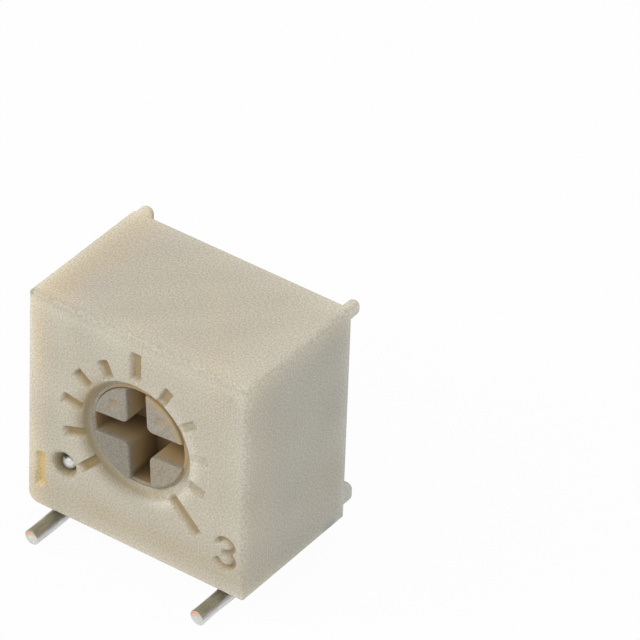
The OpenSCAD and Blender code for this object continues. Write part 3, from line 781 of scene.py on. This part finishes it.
def painted_face_light(points):
    """Colour factors of painted light on the top, the front and the right side. A factor is the
    wanted shade over the one that plain cream gives there, and the wanted shade is the face's own
    painted level plus a ramp from each of its edges, in screen levels: painted light makes the
    edges lighter and mostly warmer, most at the left, and painted shade darkens the edge between
    the front and the top a little."""
    x, t, z = points.T
    left, right, top, rear = x + HALF_W, HALF_W - x, BODY_H - z, BODY_D - t
    patchy = (0.9 + 0.12 * ripple(t + z, x, 2.3, 31))[:, None]
    front_low = (0.6 + 0.4 * smooth((x + 2.2) / 1.4))[:, None]
    on_top = [
        ramp(x, [(-1, 0, 0, 0), (2.5, 3, 2, 1)]),
        patchy * ramp(left, [(0.05, 32, 30, 26), (0.1, 30, 28, 22), (0.2, 25, 18, 9), (0.3, 19, 12, 3),
                             (0.4, 14, 7, -3), (0.5, 11, 4, -5), (0.7, 7, 1, -5), (0.9, 5, 0, -4),
                             (1.2, 2, -1, -2), (1.6, 0, 0, 0)]),
        ramp(t, [(0.1, -4, -4, -4), (0.17, 4, 4, 3), (0.3, 6, 5, 3), (0.6, 2, 1, 1), (1, 0, 0, 0)]),
        ramp(right, [(0, 4, 5, 6), (0.1, 6, 7, 8), (0.6, 6, 6, 5), (1, 3, 3, 2), (1.6, 0, 0, 0)]),
        ramp(rear, [(0.05, 12, 12, 13), (0.1, 9, 10, 10), (0.2, 6, 7, 7), (0.3, 4, 4, 5), (0.5, 2, 2, 3),
                    (0.8, 0, 0, 0)])]
    on_front = [
        patchy * ramp(left, [(0.05, 32, 30, 29), (0.1, 28, 25, 21), (0.2, 22, 17, 10), (0.3, 17, 11, 5),
                             (0.4, 12, 7, 2), (0.5, 7, 3, 0), (0.7, 2, 0, -1), (0.9, 0, 0, 0)]),
        ramp(top, [(0.1, -3, -3, -3), (0.2, 4, 4, 4), (0.3, 7, 7, 6), (0.4, 4, 4, 3), (0.7, 0, 0, 0)]),
        ramp(right, [(0.1, 1, 2, 4), (0.2, 3, 4, 6), (0.5, 2, 2, 2), (0.8, 0, 0, 0)]),
        front_low * ramp(z, [(0.05, 24, 24, 24), (0.1, 16, 15, 13), (0.2, 8, 7, 4), (0.3, 5, 4, 3),
                             (0.5, 0, -3, -8), (0.8, -1, -4, -8), (1.2, 0, 0, 0)])]
    on_right = [
        ramp(t, [(0, 14, 11, 6), (0.1, 11, 9, 4), (0.2, 9, 7, 2), (0.4, 6, 4, 0), (0.6, 5, 3, -1),
                 (1, 3, 1, -1), (1.6, 0, 0, 0)]),
        ramp(top, [(0.1, 14, 12, 7), (0.2, 12, 10, 5), (0.3, 9, 7, 3), (0.4, 8, 6, 2), (0.6, 3, 2, 1),
                   (0.9, 0, 0, 0)]),
        ramp(rear, [(0.05, 15, 16, 18), (0.1, 12, 13, 15), (0.2, 7, 7, 8), (0.3, 3, 3, 4), (0.5, 0, 0, 0)]),
        ramp(z, [(0.05, 20, 20, 20), (0.1, 14, 15, 14), (0.2, 8, 8, 5), (0.3, 3, 4, 2), (0.5, 0, 0, 0)])]
    # Each face's ramps, its own painted shade, and the one that plain cream gives there
    faces = ((on_top, (193, 186, 169), (189, 184, 168)),
             (on_front, (192.5, 185.5, 168.5), (190, 184.5, 168.5)),
             (on_right, (170.5, 167.5, 157.5), (172, 167, 153)))
    return [(sum(ramps) + own) / plain for ramps, own, plain in faces]


def painted_dial_glow(x, t, z):
    """Painted warm glow in the 1 and round it, and painted warm shade in the window's funnel."""
    near_face = t < 0.12
    one = smooth(1.6 - np.abs(x - ONE_X) / 0.085) * smooth((0.56 - np.abs(z - 1.15)) / 0.08) * near_face
    halo = bell(1, (x + 2.93) / 0.22, (z - 1.1) / 0.75) * near_face
    funnel = bell(0.3, x - WINDOW[0], z - WINDOW[1]) * (t > 0.03) * (t < 0.7)
    return one[:, None] * (22, 11, -24) + halo[:, None] * (5, 2, -6) + funnel[:, None] * (6, 0, -16)


# Rubbed spots: where in x, t and z, how wide, and how many levels darker
RUBS = ((2.78, 0.0, 5.92, 0.14, 9), (-3.24, 0.05, 6.4, 0.07, 50), (3.3, 1.1, 5.3, 0.2, 4),
        (-1.9, 0.0, 5.8, 0.3, 3))
POTTING_BLUE = np.array([70, 100, 150])


def case_tone_and_painted_light(points):
    """Colour factors of the moulding: each face's painted light, blended round the edges, with two
    broad ripples of its own tone, the dial's painted light and glow, greyer rubs, and potting
    stains at the lower rear edge."""
    x, t, z = points.T
    right, top = HALF_W - x, BODY_H - z
    on_top, on_front, on_right = painted_face_light(points)
    behind = smooth(t / 0.12)
    # Painted light: each face's factor, blended into the next over the rounded edges
    factor = np.full((len(points), 3), 1.02)
    for face, weight in ((on_front, 1 - smooth((t - 0.08) / 0.1)),
                         (on_right, smooth(1.3 - right / 0.1) * behind),
                         (on_top, smooth(1.3 - top / 0.1) * behind)):
        factor = factor + (face - factor) * weight[:, None]
    shade = CREAM * factor
    shade = shade + ripple(x + 0.7 * t, z - 0.5 * t, 2.6, 32)[:, None] * (0.9, 0.2, -0.9)
    shade = shade + ripple(x - t, z + 0.3 * t, 1.7, 33)[:, None] * (1.7, 1.7, 1.6)
    shade = shade + painted_dial_glow(x, t, z) + painted_rim_light(x - DIAL[0], t, z - DIAL[1])
    patch = 1 + 0.5 * ripple(x, z + t, 0.12, 34)
    for rub_x, rub_t, rub_z, size, levels in RUBS:
        rub = levels * bell(size, x - rub_x, t - rub_t, z - rub_z) * patch
        shade = shade - rub[:, None] * (1, 0.9, 0.8)
    stain = smooth(1.5 - right / 0.1) * smooth((0.4 - z) / 0.3) * smooth((t - 2.9) / 0.6)
    stain = stain * smooth(0.5 + ripple(t, z, 0.5, 35))
    blue = np.clip(bell(0.06, x - 3.3, t - 4.27, z - 0.88) + 0.22 * stain, 0, 1)
    shade = shade + blue[:, None] * (POTTING_BLUE - shade)
    return (np.clip(shade, 5, 250) / CREAM) ** 2.2


def nubs():
    """The four rear standoffs: low and high corners, and how far the tip is drawn in at each
    side, as (left, right, bottom, top)."""
    root, tip = BODY_D - 0.15, BODY_D + NUB_REACH
    width, height, extra = 0.33, 0.4, 0.24
    foot, head = 0.32, 1.1
    return [((-HALF_W, root, BODY_H - height), (-HALF_W + width + extra, tip, BODY_H), (0, extra, 0, 0)),
            ((HALF_W - width, root, BODY_H - height), (HALF_W, tip, BODY_H), (0, 0, 0, 0)),
            ((-HALF_W, root, foot), (-HALF_W + width, tip, head), (0, 0, 0, 0.33)),
            ((HALF_W - width, root, foot), (HALF_W, tip, head), (0, 0, 0, 0.33))]


def soft_block(shell, low, high, inset):
    """A block carried along t: each ring is a rectangle with round corners, drawn in towards the
    tip by the block's four insets and by a round nose."""
    corner, nose = 0.15, 0.14
    turn = np.radians(np.arange(5, 360, 10))
    stops = [(low[1], 0.0, 0.0), (BODY_D, 0.0, 0.0)]
    for part in np.radians([0, 20, 40, 60, 80, 90]):
        t = high[1] - nose * (1 - math.sin(part))
        stops.append((t, (t - BODY_D) / (high[1] - BODY_D), nose * (1 - math.cos(part))))
    rings = []
    for t, share, shrink in stops:
        x0, x1 = low[0] + inset[0] * share + shrink, high[0] - inset[1] * share - shrink
        z0, z1 = low[2] + inset[2] * share + shrink, high[2] - inset[3] * share - shrink
        radius = max(corner - 0.8 * shrink, 0.02)
        x = np.where(np.cos(turn) > 0, x1 - radius, x0 + radius) + radius * np.cos(turn)
        z = np.where(np.sin(turn) > 0, z1 - radius, z0 + radius) + radius * np.sin(turn)
        rings.append(points_at(x, t, z))
    loft(shell, np.stack(rings), flip=True)


# Rotor


def post(quadrant):
    """One of the head's four posts, as rings round its own middle, and their cavity values. Its
    outline is the smallest of the distances to the two slot faces, the chamfer and the head's
    circle, blended so that the corners are soft. The rings rise up the wall, round the edge and
    cover the top, where the upper two posts have a shallow gate mark. The cavity values are
    painted shade down the wall and in the gate marks, and a painted shadow of the bore's rim
    along the upper right post's outer edge."""
    # The slot is wider beside the lower right post, and the upper left one stands in a little
    wider = (0.13, 0.03) if quadrant == LOWER_RIGHT else (0, 0)
    half_a, half_b = (SLOT_W / 2 + more for more in wider)
    head_r = HEAD_R - (0.06 if quadrant == UPPER_LEFT else 0)
    middle, far, sharpness = np.array([0.72, 0.72]), 9.0, 40.0
    way = unit(np.radians(np.arange(0, 360, 3.0)))
    chamfer = (middle.sum() - (half_a + half_b + SLOT_CHAMFER)) / math.sqrt(2)
    reaches = []
    for normal, distance in (((-1, 0), middle[0] - half_a), ((0, -1), middle[1] - half_b),
                             ((-1, -1), chamfer)):
        along = way @ one_long(np.array(normal, float))
        reaches.append(np.where(along > 1e-3, distance / np.maximum(along, 1e-3), far))
    dot = way @ middle
    reaches.append(-dot + np.sqrt(dot ** 2 + head_r ** 2 - middle @ middle))
    reach = -np.log(np.exp(-sharpness * np.minimum(reaches, far)).sum(0)) / sharpness

    edge, cap_rings = 0.055, 24
    depths = [SLOT_FLOOR + 0.02, 0.95, 0.7, 0.5, 0.35, 0.24, HEAD_T + edge]
    spans = [reach] * len(depths)
    for turn in np.radians([22, 45, 67, 90]):
        depths.append(HEAD_T + edge * (1 - math.sin(turn)))
        spans.append(reach - edge * (1 - math.cos(turn)))
    wall_rings = len(depths)
    depths += [HEAD_T] * cap_rings
    spans += [(reach - edge) * share for share in np.linspace(0.95, 0.03, cap_rings)]
    a, b = np.moveaxis(middle + np.stack(spans)[..., None] * way, -1, 0)
    t = np.array(depths)[:, None] + 0 * a
    if quadrant in (UPPER_RIGHT, UPPER_LEFT):
        gate = smooth(1.3 - np.hypot(a - 0.7, b - 0.7) / 0.15)
        t += np.where(t < HEAD_T + 0.01, 0.06 * gate, 0)
    quarter = quadrant * math.pi / 2 + SLOT_TURN
    x, z = a * math.cos(quarter) - b * math.sin(quarter), a * math.sin(quarter) + b * math.cos(quarter)

    deep = t - HEAD_T
    # Painted shade down the wall by depth, and in the gate marks' dents
    cavity = np.interp(deep, [0.05, 0.2, 0.5, 1.05], [0, 0.3, 0.55, 1])
    dent = 0.22 * smooth((deep - 0.01) / 0.05) * (deep < 0.07)
    cavity[wall_rings:] = np.maximum(cavity, dent)[wall_rings:]
    # Painted shadow of the bore's rim along the upper right post's outer edge
    if quadrant == UPPER_RIGHT:
        cavity = np.maximum(cavity, 0.3 * smooth((np.hypot(x, z) - 1.16) / 0.2))
    return points_at(x, t, z + ROTOR_Z), cavity


def make_rotor(material):
    """The rotor: four posts on a turned body, a thin ring between head and bore, and the lug."""
    shell = Shell()
    for quadrant in range(4):
        loft(shell, *post(quadrant))
    turn = np.radians(np.arange(0, 360, 2.5))
    front, back = FLANGE_T
    inner, outer = GROOVE_R
    body = [(SLOT_FLOOR, 0.3), (SLOT_FLOOR, HEAD_R), (front, HEAD_R), (front, inner), (GROOVE_FLOOR, inner),
            (GROOVE_FLOOR, outer), (front, outer), (front, FLANGE_R), (back, FLANGE_R), (back, 0.3)]
    # Painted shade all over the turned body, deep behind the posts
    loft(shell, turned(body, turn), 0.95, flip=True)

    out_r, in_r, foot = 1.457, 1.345, SLOT_FLOOR + 0.02
    collar = [(foot, out_r), (0.142, out_r), (0.138, 1.452), (0.128, 1.37), (0.16, in_r), (0.4, in_r),
              (0.8, in_r), (foot, in_r)]
    # Painted shade on the collar: little on its front, more down its inside and at its foot, and ochre all
    # along its upper right
    hollow = np.array([0.8, 0.1, 0.03, 0.03, 0.4, 0.7, 0.85, 0.9])[:, None]
    upper_right_shade = 0.42 * smooth(1.2 * np.cos(turn - math.radians(48)) + 0.2)
    quads = grid_quads(len(collar), len(turn), wrap_rows=True)[:, ::-1]
    shell.add(turned(collar, turn), [quads], np.maximum(hollow, upper_right_shade))

    lug_angle = np.radians(np.linspace(75, 105, 13)) + SLOT_TURN
    lug = turned([(front, 1.9), (front, LUG_R), (back, LUG_R), (back, 1.9)], lug_angle)
    # Painted shade all over the lug, deep inside the case
    loft(shell, lug.swapaxes(0, 1), 0.9)
    return shell.build("rotor_moulding", material, tint=rotor_painted_light)


def rotor_painted_light(points):
    """Painted light on the rotor: the posts' four painted shades, from the upper right one round
    against the clock, and painted shade on the left arm and the lower end of the slot, each
    blended over a soft border."""
    x, t, z = (points - [0, 0, ROTOR_Z]).T
    right, high = step(x, 0.3)[:, None], step(z, 0.3)[:, None]
    shades = np.array([(1.22, 1.24, 1.24), (1.11, 1.15, 1.16), (0.95, 0.97, 0.97), (1.2, 1.18, 1.12)])
    shade = high * (right * shades[0] + (1 - right) * shades[1])
    shade = shade + (1 - high) * ((1 - right) * shades[2] + right * shades[3])
    arm = smooth((-0.2 - x) / 0.3) * smooth((0.42 - np.abs(z)) / 0.08) * smooth((t - 0.1) / 0.15)
    end = smooth((-1.1 - z) / 0.2) * smooth((0.48 - np.abs(x)) / 0.1) * smooth((t - 0.12) / 0.06)
    return shade * (1 - 0.16 * arm - 0.4 * end)[:, None]


# Wires


def wire_path(stops):
    """A path through stops, with each corner rounded to its bend radius by a quarter circle and
    the straight parts cut into short steps."""
    stops = np.array(stops, float)
    path = [stops[:1]]
    for i, radius in enumerate(LEAD_BENDS, start=1):
        before = one_long(stops[i - 1] - stops[i])
        after = one_long(stops[i + 1] - stops[i])
        centre = stops[i] + (before + after) * radius
        turn = np.linspace(0, math.pi / 2, 12)[:, None]
        path.append(centre - after * radius * np.cos(turn) - before * radius * np.sin(turn))
    path.append(stops[-1:])
    coarse = np.concatenate(path)
    fine = [coarse[:1]]
    for a, b in zip(coarse[:-1], coarse[1:]):
        pieces = max(1, int(np.linalg.norm(b - a) / 0.08))
        share = np.linspace(0, 1, pieces + 1)[1:, None]
        fine.append(a + (b - a) * share)
    return np.concatenate(fine)


# Rings over a wire's end: how far in from its side, and how far back from the cut. The first
# five lie on the cut itself.
CUT = ((0.2, 0.0), (0.15, 0.0), (0.1, 0.0), (0.05, 0.0), (0.018, 0.002), (0.006, 0.012), (0.0, 0.026))
ON_CUT = 5


def wire(name, x, stops, material, seed, lean=0.0):
    """A round wire along its path: circles square to the path, a little out of round, with a
    flat sheared cut at its first end and a domed one at its last. Its upper side has painted
    shade, darker and browner, and its lower right side a pale painted reflection. lean moves the
    last part of the path right and up."""
    path = np.insert(wire_path(stops), 0, x, axis=1)
    shift = lean * smooth((1.0 - path[:, 1]) / 0.7) * (path[:, 2] > 0.5)
    path = path + shift[:, None] * (0.28, 0, 0.32)
    ahead = one_long(np.gradient(path, axis=0))
    other = one_long(np.cross(ahead, (1.0, 0, 0)))
    side = np.cross(other, ahead)
    turn = np.radians(np.arange(0, 360, 7.5))
    length = np.concatenate([[0], np.cumsum(np.linalg.norm(np.diff(path, axis=0), axis=1))])
    wave = ripple(length[:, None], turn[None] * 0.3, 0.9, seed)
    radius = LEAD_R - 0.006 + 0.005 * wave
    outward = side[:, None] * np.cos(turn)[None, :, None] + other[:, None] * np.sin(turn)[None, :, None]
    rings = path[:, None] + radius[..., None] * outward

    def cut(end, sense, dome):
        """Rings of an end: a face that is flat and tilted or bulges by dome, with a soft rim."""
        found = []
        for inset, back in CUT:
            scale = radius[end][:, None] - inset
            tilt = 0.03 + 0.03 * scale / LEAD_R * np.cos(turn - 2.2)[:, None]
            bulge = dome * np.sqrt(np.clip(1 - (scale / LEAD_R) ** 2, 0, 1))
            found.append(path[end] + scale * outward[end] + ahead[end] * sense * (back + tilt - bulge))
        return np.stack(found)

    inner = (length > 0.1) & (length < length[-1] - 0.1)
    rings = np.concatenate([cut(0, 1, 0.0), rings[inner], cut(-1, -1, 0.12)[::-1]])
    facing = np.concatenate([outward[:1]] * len(CUT) + [outward[inner]] + [outward[-1:]] * len(CUT))
    right, up = facing[..., :1], facing[..., 2:]
    # Painted shade on the upper side and a pale painted reflection on the lower right side
    painted_reflection = smooth(2.6 * (right * 0.87 - up * 0.5) - 1.1) * smooth((up + 0.95) / 0.3)
    colour = 0.78 + np.clip(up, 0, 1) * (-0.08, -0.11, -0.23) + painted_reflection * (0.5, 0.53, 0.68)
    # The flat cut's bright colour, the dome's painted highlight, and the painted shade on the dome's upper
    # part
    colour[:ON_CUT] = (1.35, 1.38, 1.45)
    colour[-ON_CUT - 1:] = (1.55, 1.62, 1.76)
    colour[-ON_CUT:-2] *= 1 - 0.85 * smooth((up[-1] - 0.1) / 0.5)
    copper = smooth((up[0] * 0.9 - right[0] * 0.45 - 0.25) / 0.5)[:, 0]
    cavity = np.zeros(rings.shape[:2])
    cavity[:ON_CUT] = np.array([0.0, 0.1, 0.35, 0.8, 0.8])[:, None] * copper
    shell = Shell()
    loft(shell, rings, cavity, flip=True)
    tips = np.full((2, 3), 1.35)
    colour = np.concatenate([colour.reshape(-1, 3), tips])
    return shell.build(name, material, crease=50, tint=lambda points: colour)


def make_wires(material):
    """The three leads, each along the middle line of its solid. The tip of the first leans
    into the window."""
    foot = -BASE_Z + LEAD_R
    shank = lead_high[1] - FRONT_Y - LEAD_R
    tip_z = lead_high[2] - BASE_Z - LEAD_R
    front = lead_low[1] - FRONT_Y
    mid_shank, mid_tip_z = 3.3, mid_high[2] - BASE_Z - LEAD_R
    window_t, hidden_t, mid_tip_t = 0.34, 0.54, 1.85
    rise = [(front, foot), (shank, foot), (shank, tip_z)]
    mid = [(mid_high[1] - FRONT_Y, foot), (mid_shank, foot), (mid_shank, mid_tip_z),
           (mid_tip_t, mid_tip_z)]
    return [wire("wire_1", -LEAD_X, rise + [(window_t, tip_z)], material, 3, lean=1.0),
            wire("wire_2", 0.0, mid, material, 4),
            wire("wire_3", LEAD_X, rise + [(hidden_t, tip_z)], material, 5)]


# Potting


# The potting's lower edge, left to right in x and z: it laps over the case's corners and the
# base wall's end, runs into the three channels and leaves two bays of that end bare
LAP = [(-2.945, 2.0), (-2.95, 1.4), (-3.0, 1.05), (-3.1, 0.75), (-3.2, 0.45), (-3.24, 0.3), (-3.22, 0.06),
       (-3.1, 0.01), (-2.84, 0.0), (-2.24, 0.0), (-2.18, 0.07), (-1.9, 0.1), (-1.57, 0.13), (-1.45, 0.07),
       (-1.36, 0.14), (-1.23, 0.33), (-1.05, 0.58), (-0.95, 0.62), (-0.77, 0.66), (-0.6, 0.62),
       (-0.42, 0.4), (-0.3, 0.08), (-0.27, 0.0), (0.27, 0.0), (0.33, 0.15), (0.43, 0.4), (0.53, 0.63),
       (0.77, 0.68), (1.0, 0.63), (1.2, 0.43), (1.35, 0.22), (1.43, 0.17), (1.7, 0.2), (1.9, 0.12),
       (2.13, 0.07), (2.24, 0.0), (2.84, 0.0), (2.95, 0.1), (3.08, 0.12), (3.1, 0.26), (2.98, 0.34),
       (2.97, 0.5), (2.97, 1.07), (2.945, 1.4)]
# How far the potting laps past a channel's outer edge: rows of t and width
LEFT_LIP = [(1.05, 0), (1.5, 0), (1.65, 0.15), (1.8, 0.2), (2.5, 0.17), (3.2, 0.25), (3.35, 0.32),
            (3.45, 0.42), (4.25, 0.42)]
RIGHT_LIP = [(1.0, 0), (1.6, 0.03), (2.2, 0.08), (2.7, 0.16), (3.0, 0.26), (3.4, 0.3), (3.7, 0.28),
             (3.9, 0.2), (4.0, 0.14), (4.25, 0.26)]
NO_LIP = [(0, 0), (1, 0)]


def potting_edge(angle, well_reach):
    """How far the potting reaches along each ray from the rotor axis: a little past the well, or
    to the table's edge below, both a little ragged."""
    way = unit(angle)
    lap = np.array(LAP) - CENTRE
    lap_angle = np.arctan2(lap[:, 1], lap[:, 0]) % (2 * math.pi)
    order = np.argsort(lap_angle)
    lapped = np.interp(angle, lap_angle[order], np.linalg.norm(lap, axis=1)[order])
    below = (angle > lap_angle.min()) & (angle < lap_angle.max())
    low = below & (np.abs(way[:, 0] / np.minimum(way[:, 1], -1e-3)) * ROTOR_Z < 3.1)
    ragged = ripple(way[:, 0] * 3, way[:, 1] * 3, 0.35, 13)
    ragged = ragged + np.where(low, ripple(way[:, 0] * 4, 0 * angle, 0.3, 15), 0)
    return np.where(below, lapped, well_reach + 0.045) + 0.014 * ragged * np.where(low, 1.6, 1)


def make_potting(material):
    """The potting: a rear surface over the well, with soft folds that fan out from the middle
    lead and a thin lap round it, and a strip in each channel under the base."""
    shell = Shell()
    angle = np.radians(np.arange(0, 360, 0.6))
    well_reach = np.linalg.norm(well_outline(angle) - CENTRE, axis=1)
    edge_reach = potting_edge(angle, well_reach)
    edge = unit(angle) * edge_reach[:, None]
    fold_x, fold_z, bottom_t, bottom_share = 0.05, 0.1, 3.4, 0.9
    rings, thin = [], []
    for share in np.concatenate([np.linspace(0.04, 0.74, 30), np.linspace(0.75, 0.994, 40)]):
        x, z = (CENTRE + edge * share).T
        past = edge_reach * share - well_reach
        fan, away = np.arctan2(z - fold_z, x - fold_x), np.hypot(x - fold_x, z - fold_z)
        folds = 0.09 * np.sin(8 * fan + 0.6 * np.sin(away * 2)) * smooth(away / 0.6) * np.exp(-away / 1.5)
        waves = 0.02 * ripple(x, z, 2.2, 14) + folds
        waves = waves * smooth((1 - share) / 0.15) * smooth(-past / 0.2)
        rise = -0.01 + waves + 0.04 * smooth(past / 0.08 + 1)
        rings.append(points_at(x, BODY_D + rise, z))
        patchy = smooth(0.45 + 0.6 * ripple(x, z, 0.9, 16))
        close = np.exp(-edge_reach * (1 - share) / 0.22)
        thin.append(smooth(past / 0.1 + 0.6) * smooth((0.85 - z) / 0.3) * np.maximum(close, 0.5 * patchy))
    x, z = (CENTRE + edge).T
    rings += [points_at(x, BODY_D + 0.005, z), points_at(x, BODY_D - 0.02, z)]
    x, z = (CENTRE + bottom_share * unit(angle) * well_reach[:, None]).T
    rings.append(points_at(x, bottom_t, z))
    loft(shell, np.stack(rings), np.stack(thin + [thin[-1], thin[-1], 0 * thin[-1]]))
    front, mid_front = CHANNEL_FRONT - 0.01, 1.35
    channel_strip(shell, -LEAD_X - CHANNEL_HALF, -LEAD_X + CHANNEL_HALF, front, LEFT_LIP)
    channel_strip(shell, LEAD_X - CHANNEL_HALF, LEAD_X + CHANNEL_HALF, front, RIGHT_LIP)
    channel_strip(shell, -MID_SLOT_HALF, MID_SLOT_HALF, mid_front, NO_LIP)
    return shell.build("potting", material, crease=60)


def channel_strip(shell, x0, x1, front, lip):
    """Potting in one channel: a sheet over x and t that is hollow along its middle, with a round
    front end and a thin lap past the channel's outer edge, whose width is read from a table by
    t. The lap follows the case's rounded lower edge. The sheet is closed by a flat back."""
    rows, columns = 90, 36
    t = np.linspace(front, BODY_D + 0.025, rows)[:, None]
    share = np.linspace(0, 1, columns)[None]
    at_right, in_middle = x0 + x1 > 0, x0 + x1 == 0
    spread = np.interp(t, *zip(*lip)) * (1 + 0.06 * ripple(t, 0 * t, 0.3, 21))
    low = x0 - (0 if at_right else spread) + 0 * t
    high = x1 + (spread if at_right else 0) + 0 * t
    x = low + (high - low) * share
    past = np.maximum(x - x1, x0 - x)
    dish = 0.07 * np.clip(1 - ((x - (x0 + x1) / 2) / (x1 - x0) * 2) ** 2, 0, 1)
    corner = EDGE_R[3] if at_right else EDGE_R[2]
    round_in = np.clip(np.abs(x) - HALF_W + corner, 0, corner)
    base = corner - np.sqrt(corner ** 2 - round_in ** 2)
    z = 0.01 + dish - 0.03 * smooth(past / 0.05 + 0.8) + base + 0.01 * ripple(x, t + 0 * x, 0.8, 22)
    z = z + (0.25 if in_middle else 0.04) * smooth((front + 0.12 - t) / 0.12)
    edges = np.array([0, -1])
    z[:, edges] = np.where(past[:, edges] > 0.02, base[:, edges] + 0.01, np.maximum(z[:, edges], 0.004))
    back = points_at(x, t, np.maximum(z + 0.01, 0.45))
    loop = np.concatenate([points_at(x, t, z), back[:, ::-1]], axis=1)
    cavity = np.concatenate([0.9 * smooth(past / 0.12 + 0.5), 0 * x], axis=1)
    loft(shell, loop, cavity, flip=True)


# Making


def dress(piece, body, slot, *nodes):
    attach(piece, body)
    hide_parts(*nodes)


make_camera()
make_world(0.74)
area_light("key", (-0.55, -0.75, 0.85), 120, 90, 0.06)
area_light("fill", (0.45, -0.66, 0.62), 150, 60, 0.02)
make_floor()

dress(make_case(case_finish()), "case", "case_plastic", "housing")
dress(make_rotor(rotor_finish()), "adjuster", "rotor_plastic", "rotor")
for number, lead in enumerate(make_wires(tin_finish()), start=1):
    dress(lead, "case", "tinned_wire", f"lead_{number}")
dress(make_potting(epoxy_finish()), "case", "blue_epoxy", "epoxy_fill")

INNER = {
    "rotor_seal": plain_finish("seal_rubber", (0.02, 0.02, 0.02), (0.03, 0.03, 0.03), 0.05, 0.7),
    "wiper": plain_finish("spring_metal", (0.62, 0.45, 0.2), (0.72, 0.55, 0.28), 0.1, 0.3, 1.0),
    "substrate": plain_finish("ceramic", (0.78, 0.77, 0.73), (0.86, 0.85, 0.82), 0.04, 0.5),
    "resistive_track": plain_finish("resistive_ink", (0.03, 0.025, 0.02), (0.05, 0.04, 0.035), 0.03, 0.5),
    "collector_pad": plain_finish("silver_ink", (0.6, 0.59, 0.56), (0.7, 0.69, 0.66), 0.03, 0.4, 1.0),
    "solder_1": plain_finish("solder", (0.55, 0.55, 0.54), (0.68, 0.68, 0.67), 0.08, 0.25, 1.0),
}
for twin, first in (("end_pad_1", "collector_pad"), ("end_pad_3", "collector_pad"),
                    ("solder_2", "solder_1"), ("solder_3", "solder_1")):
    INNER[twin] = INNER[first]
for node, material in INNER.items():
    mesh = frame["nodes"][node].data
    mesh.materials.clear()
    mesh.materials.append(material)

bpy.context.scene.view_settings.view_transform = "Standard"
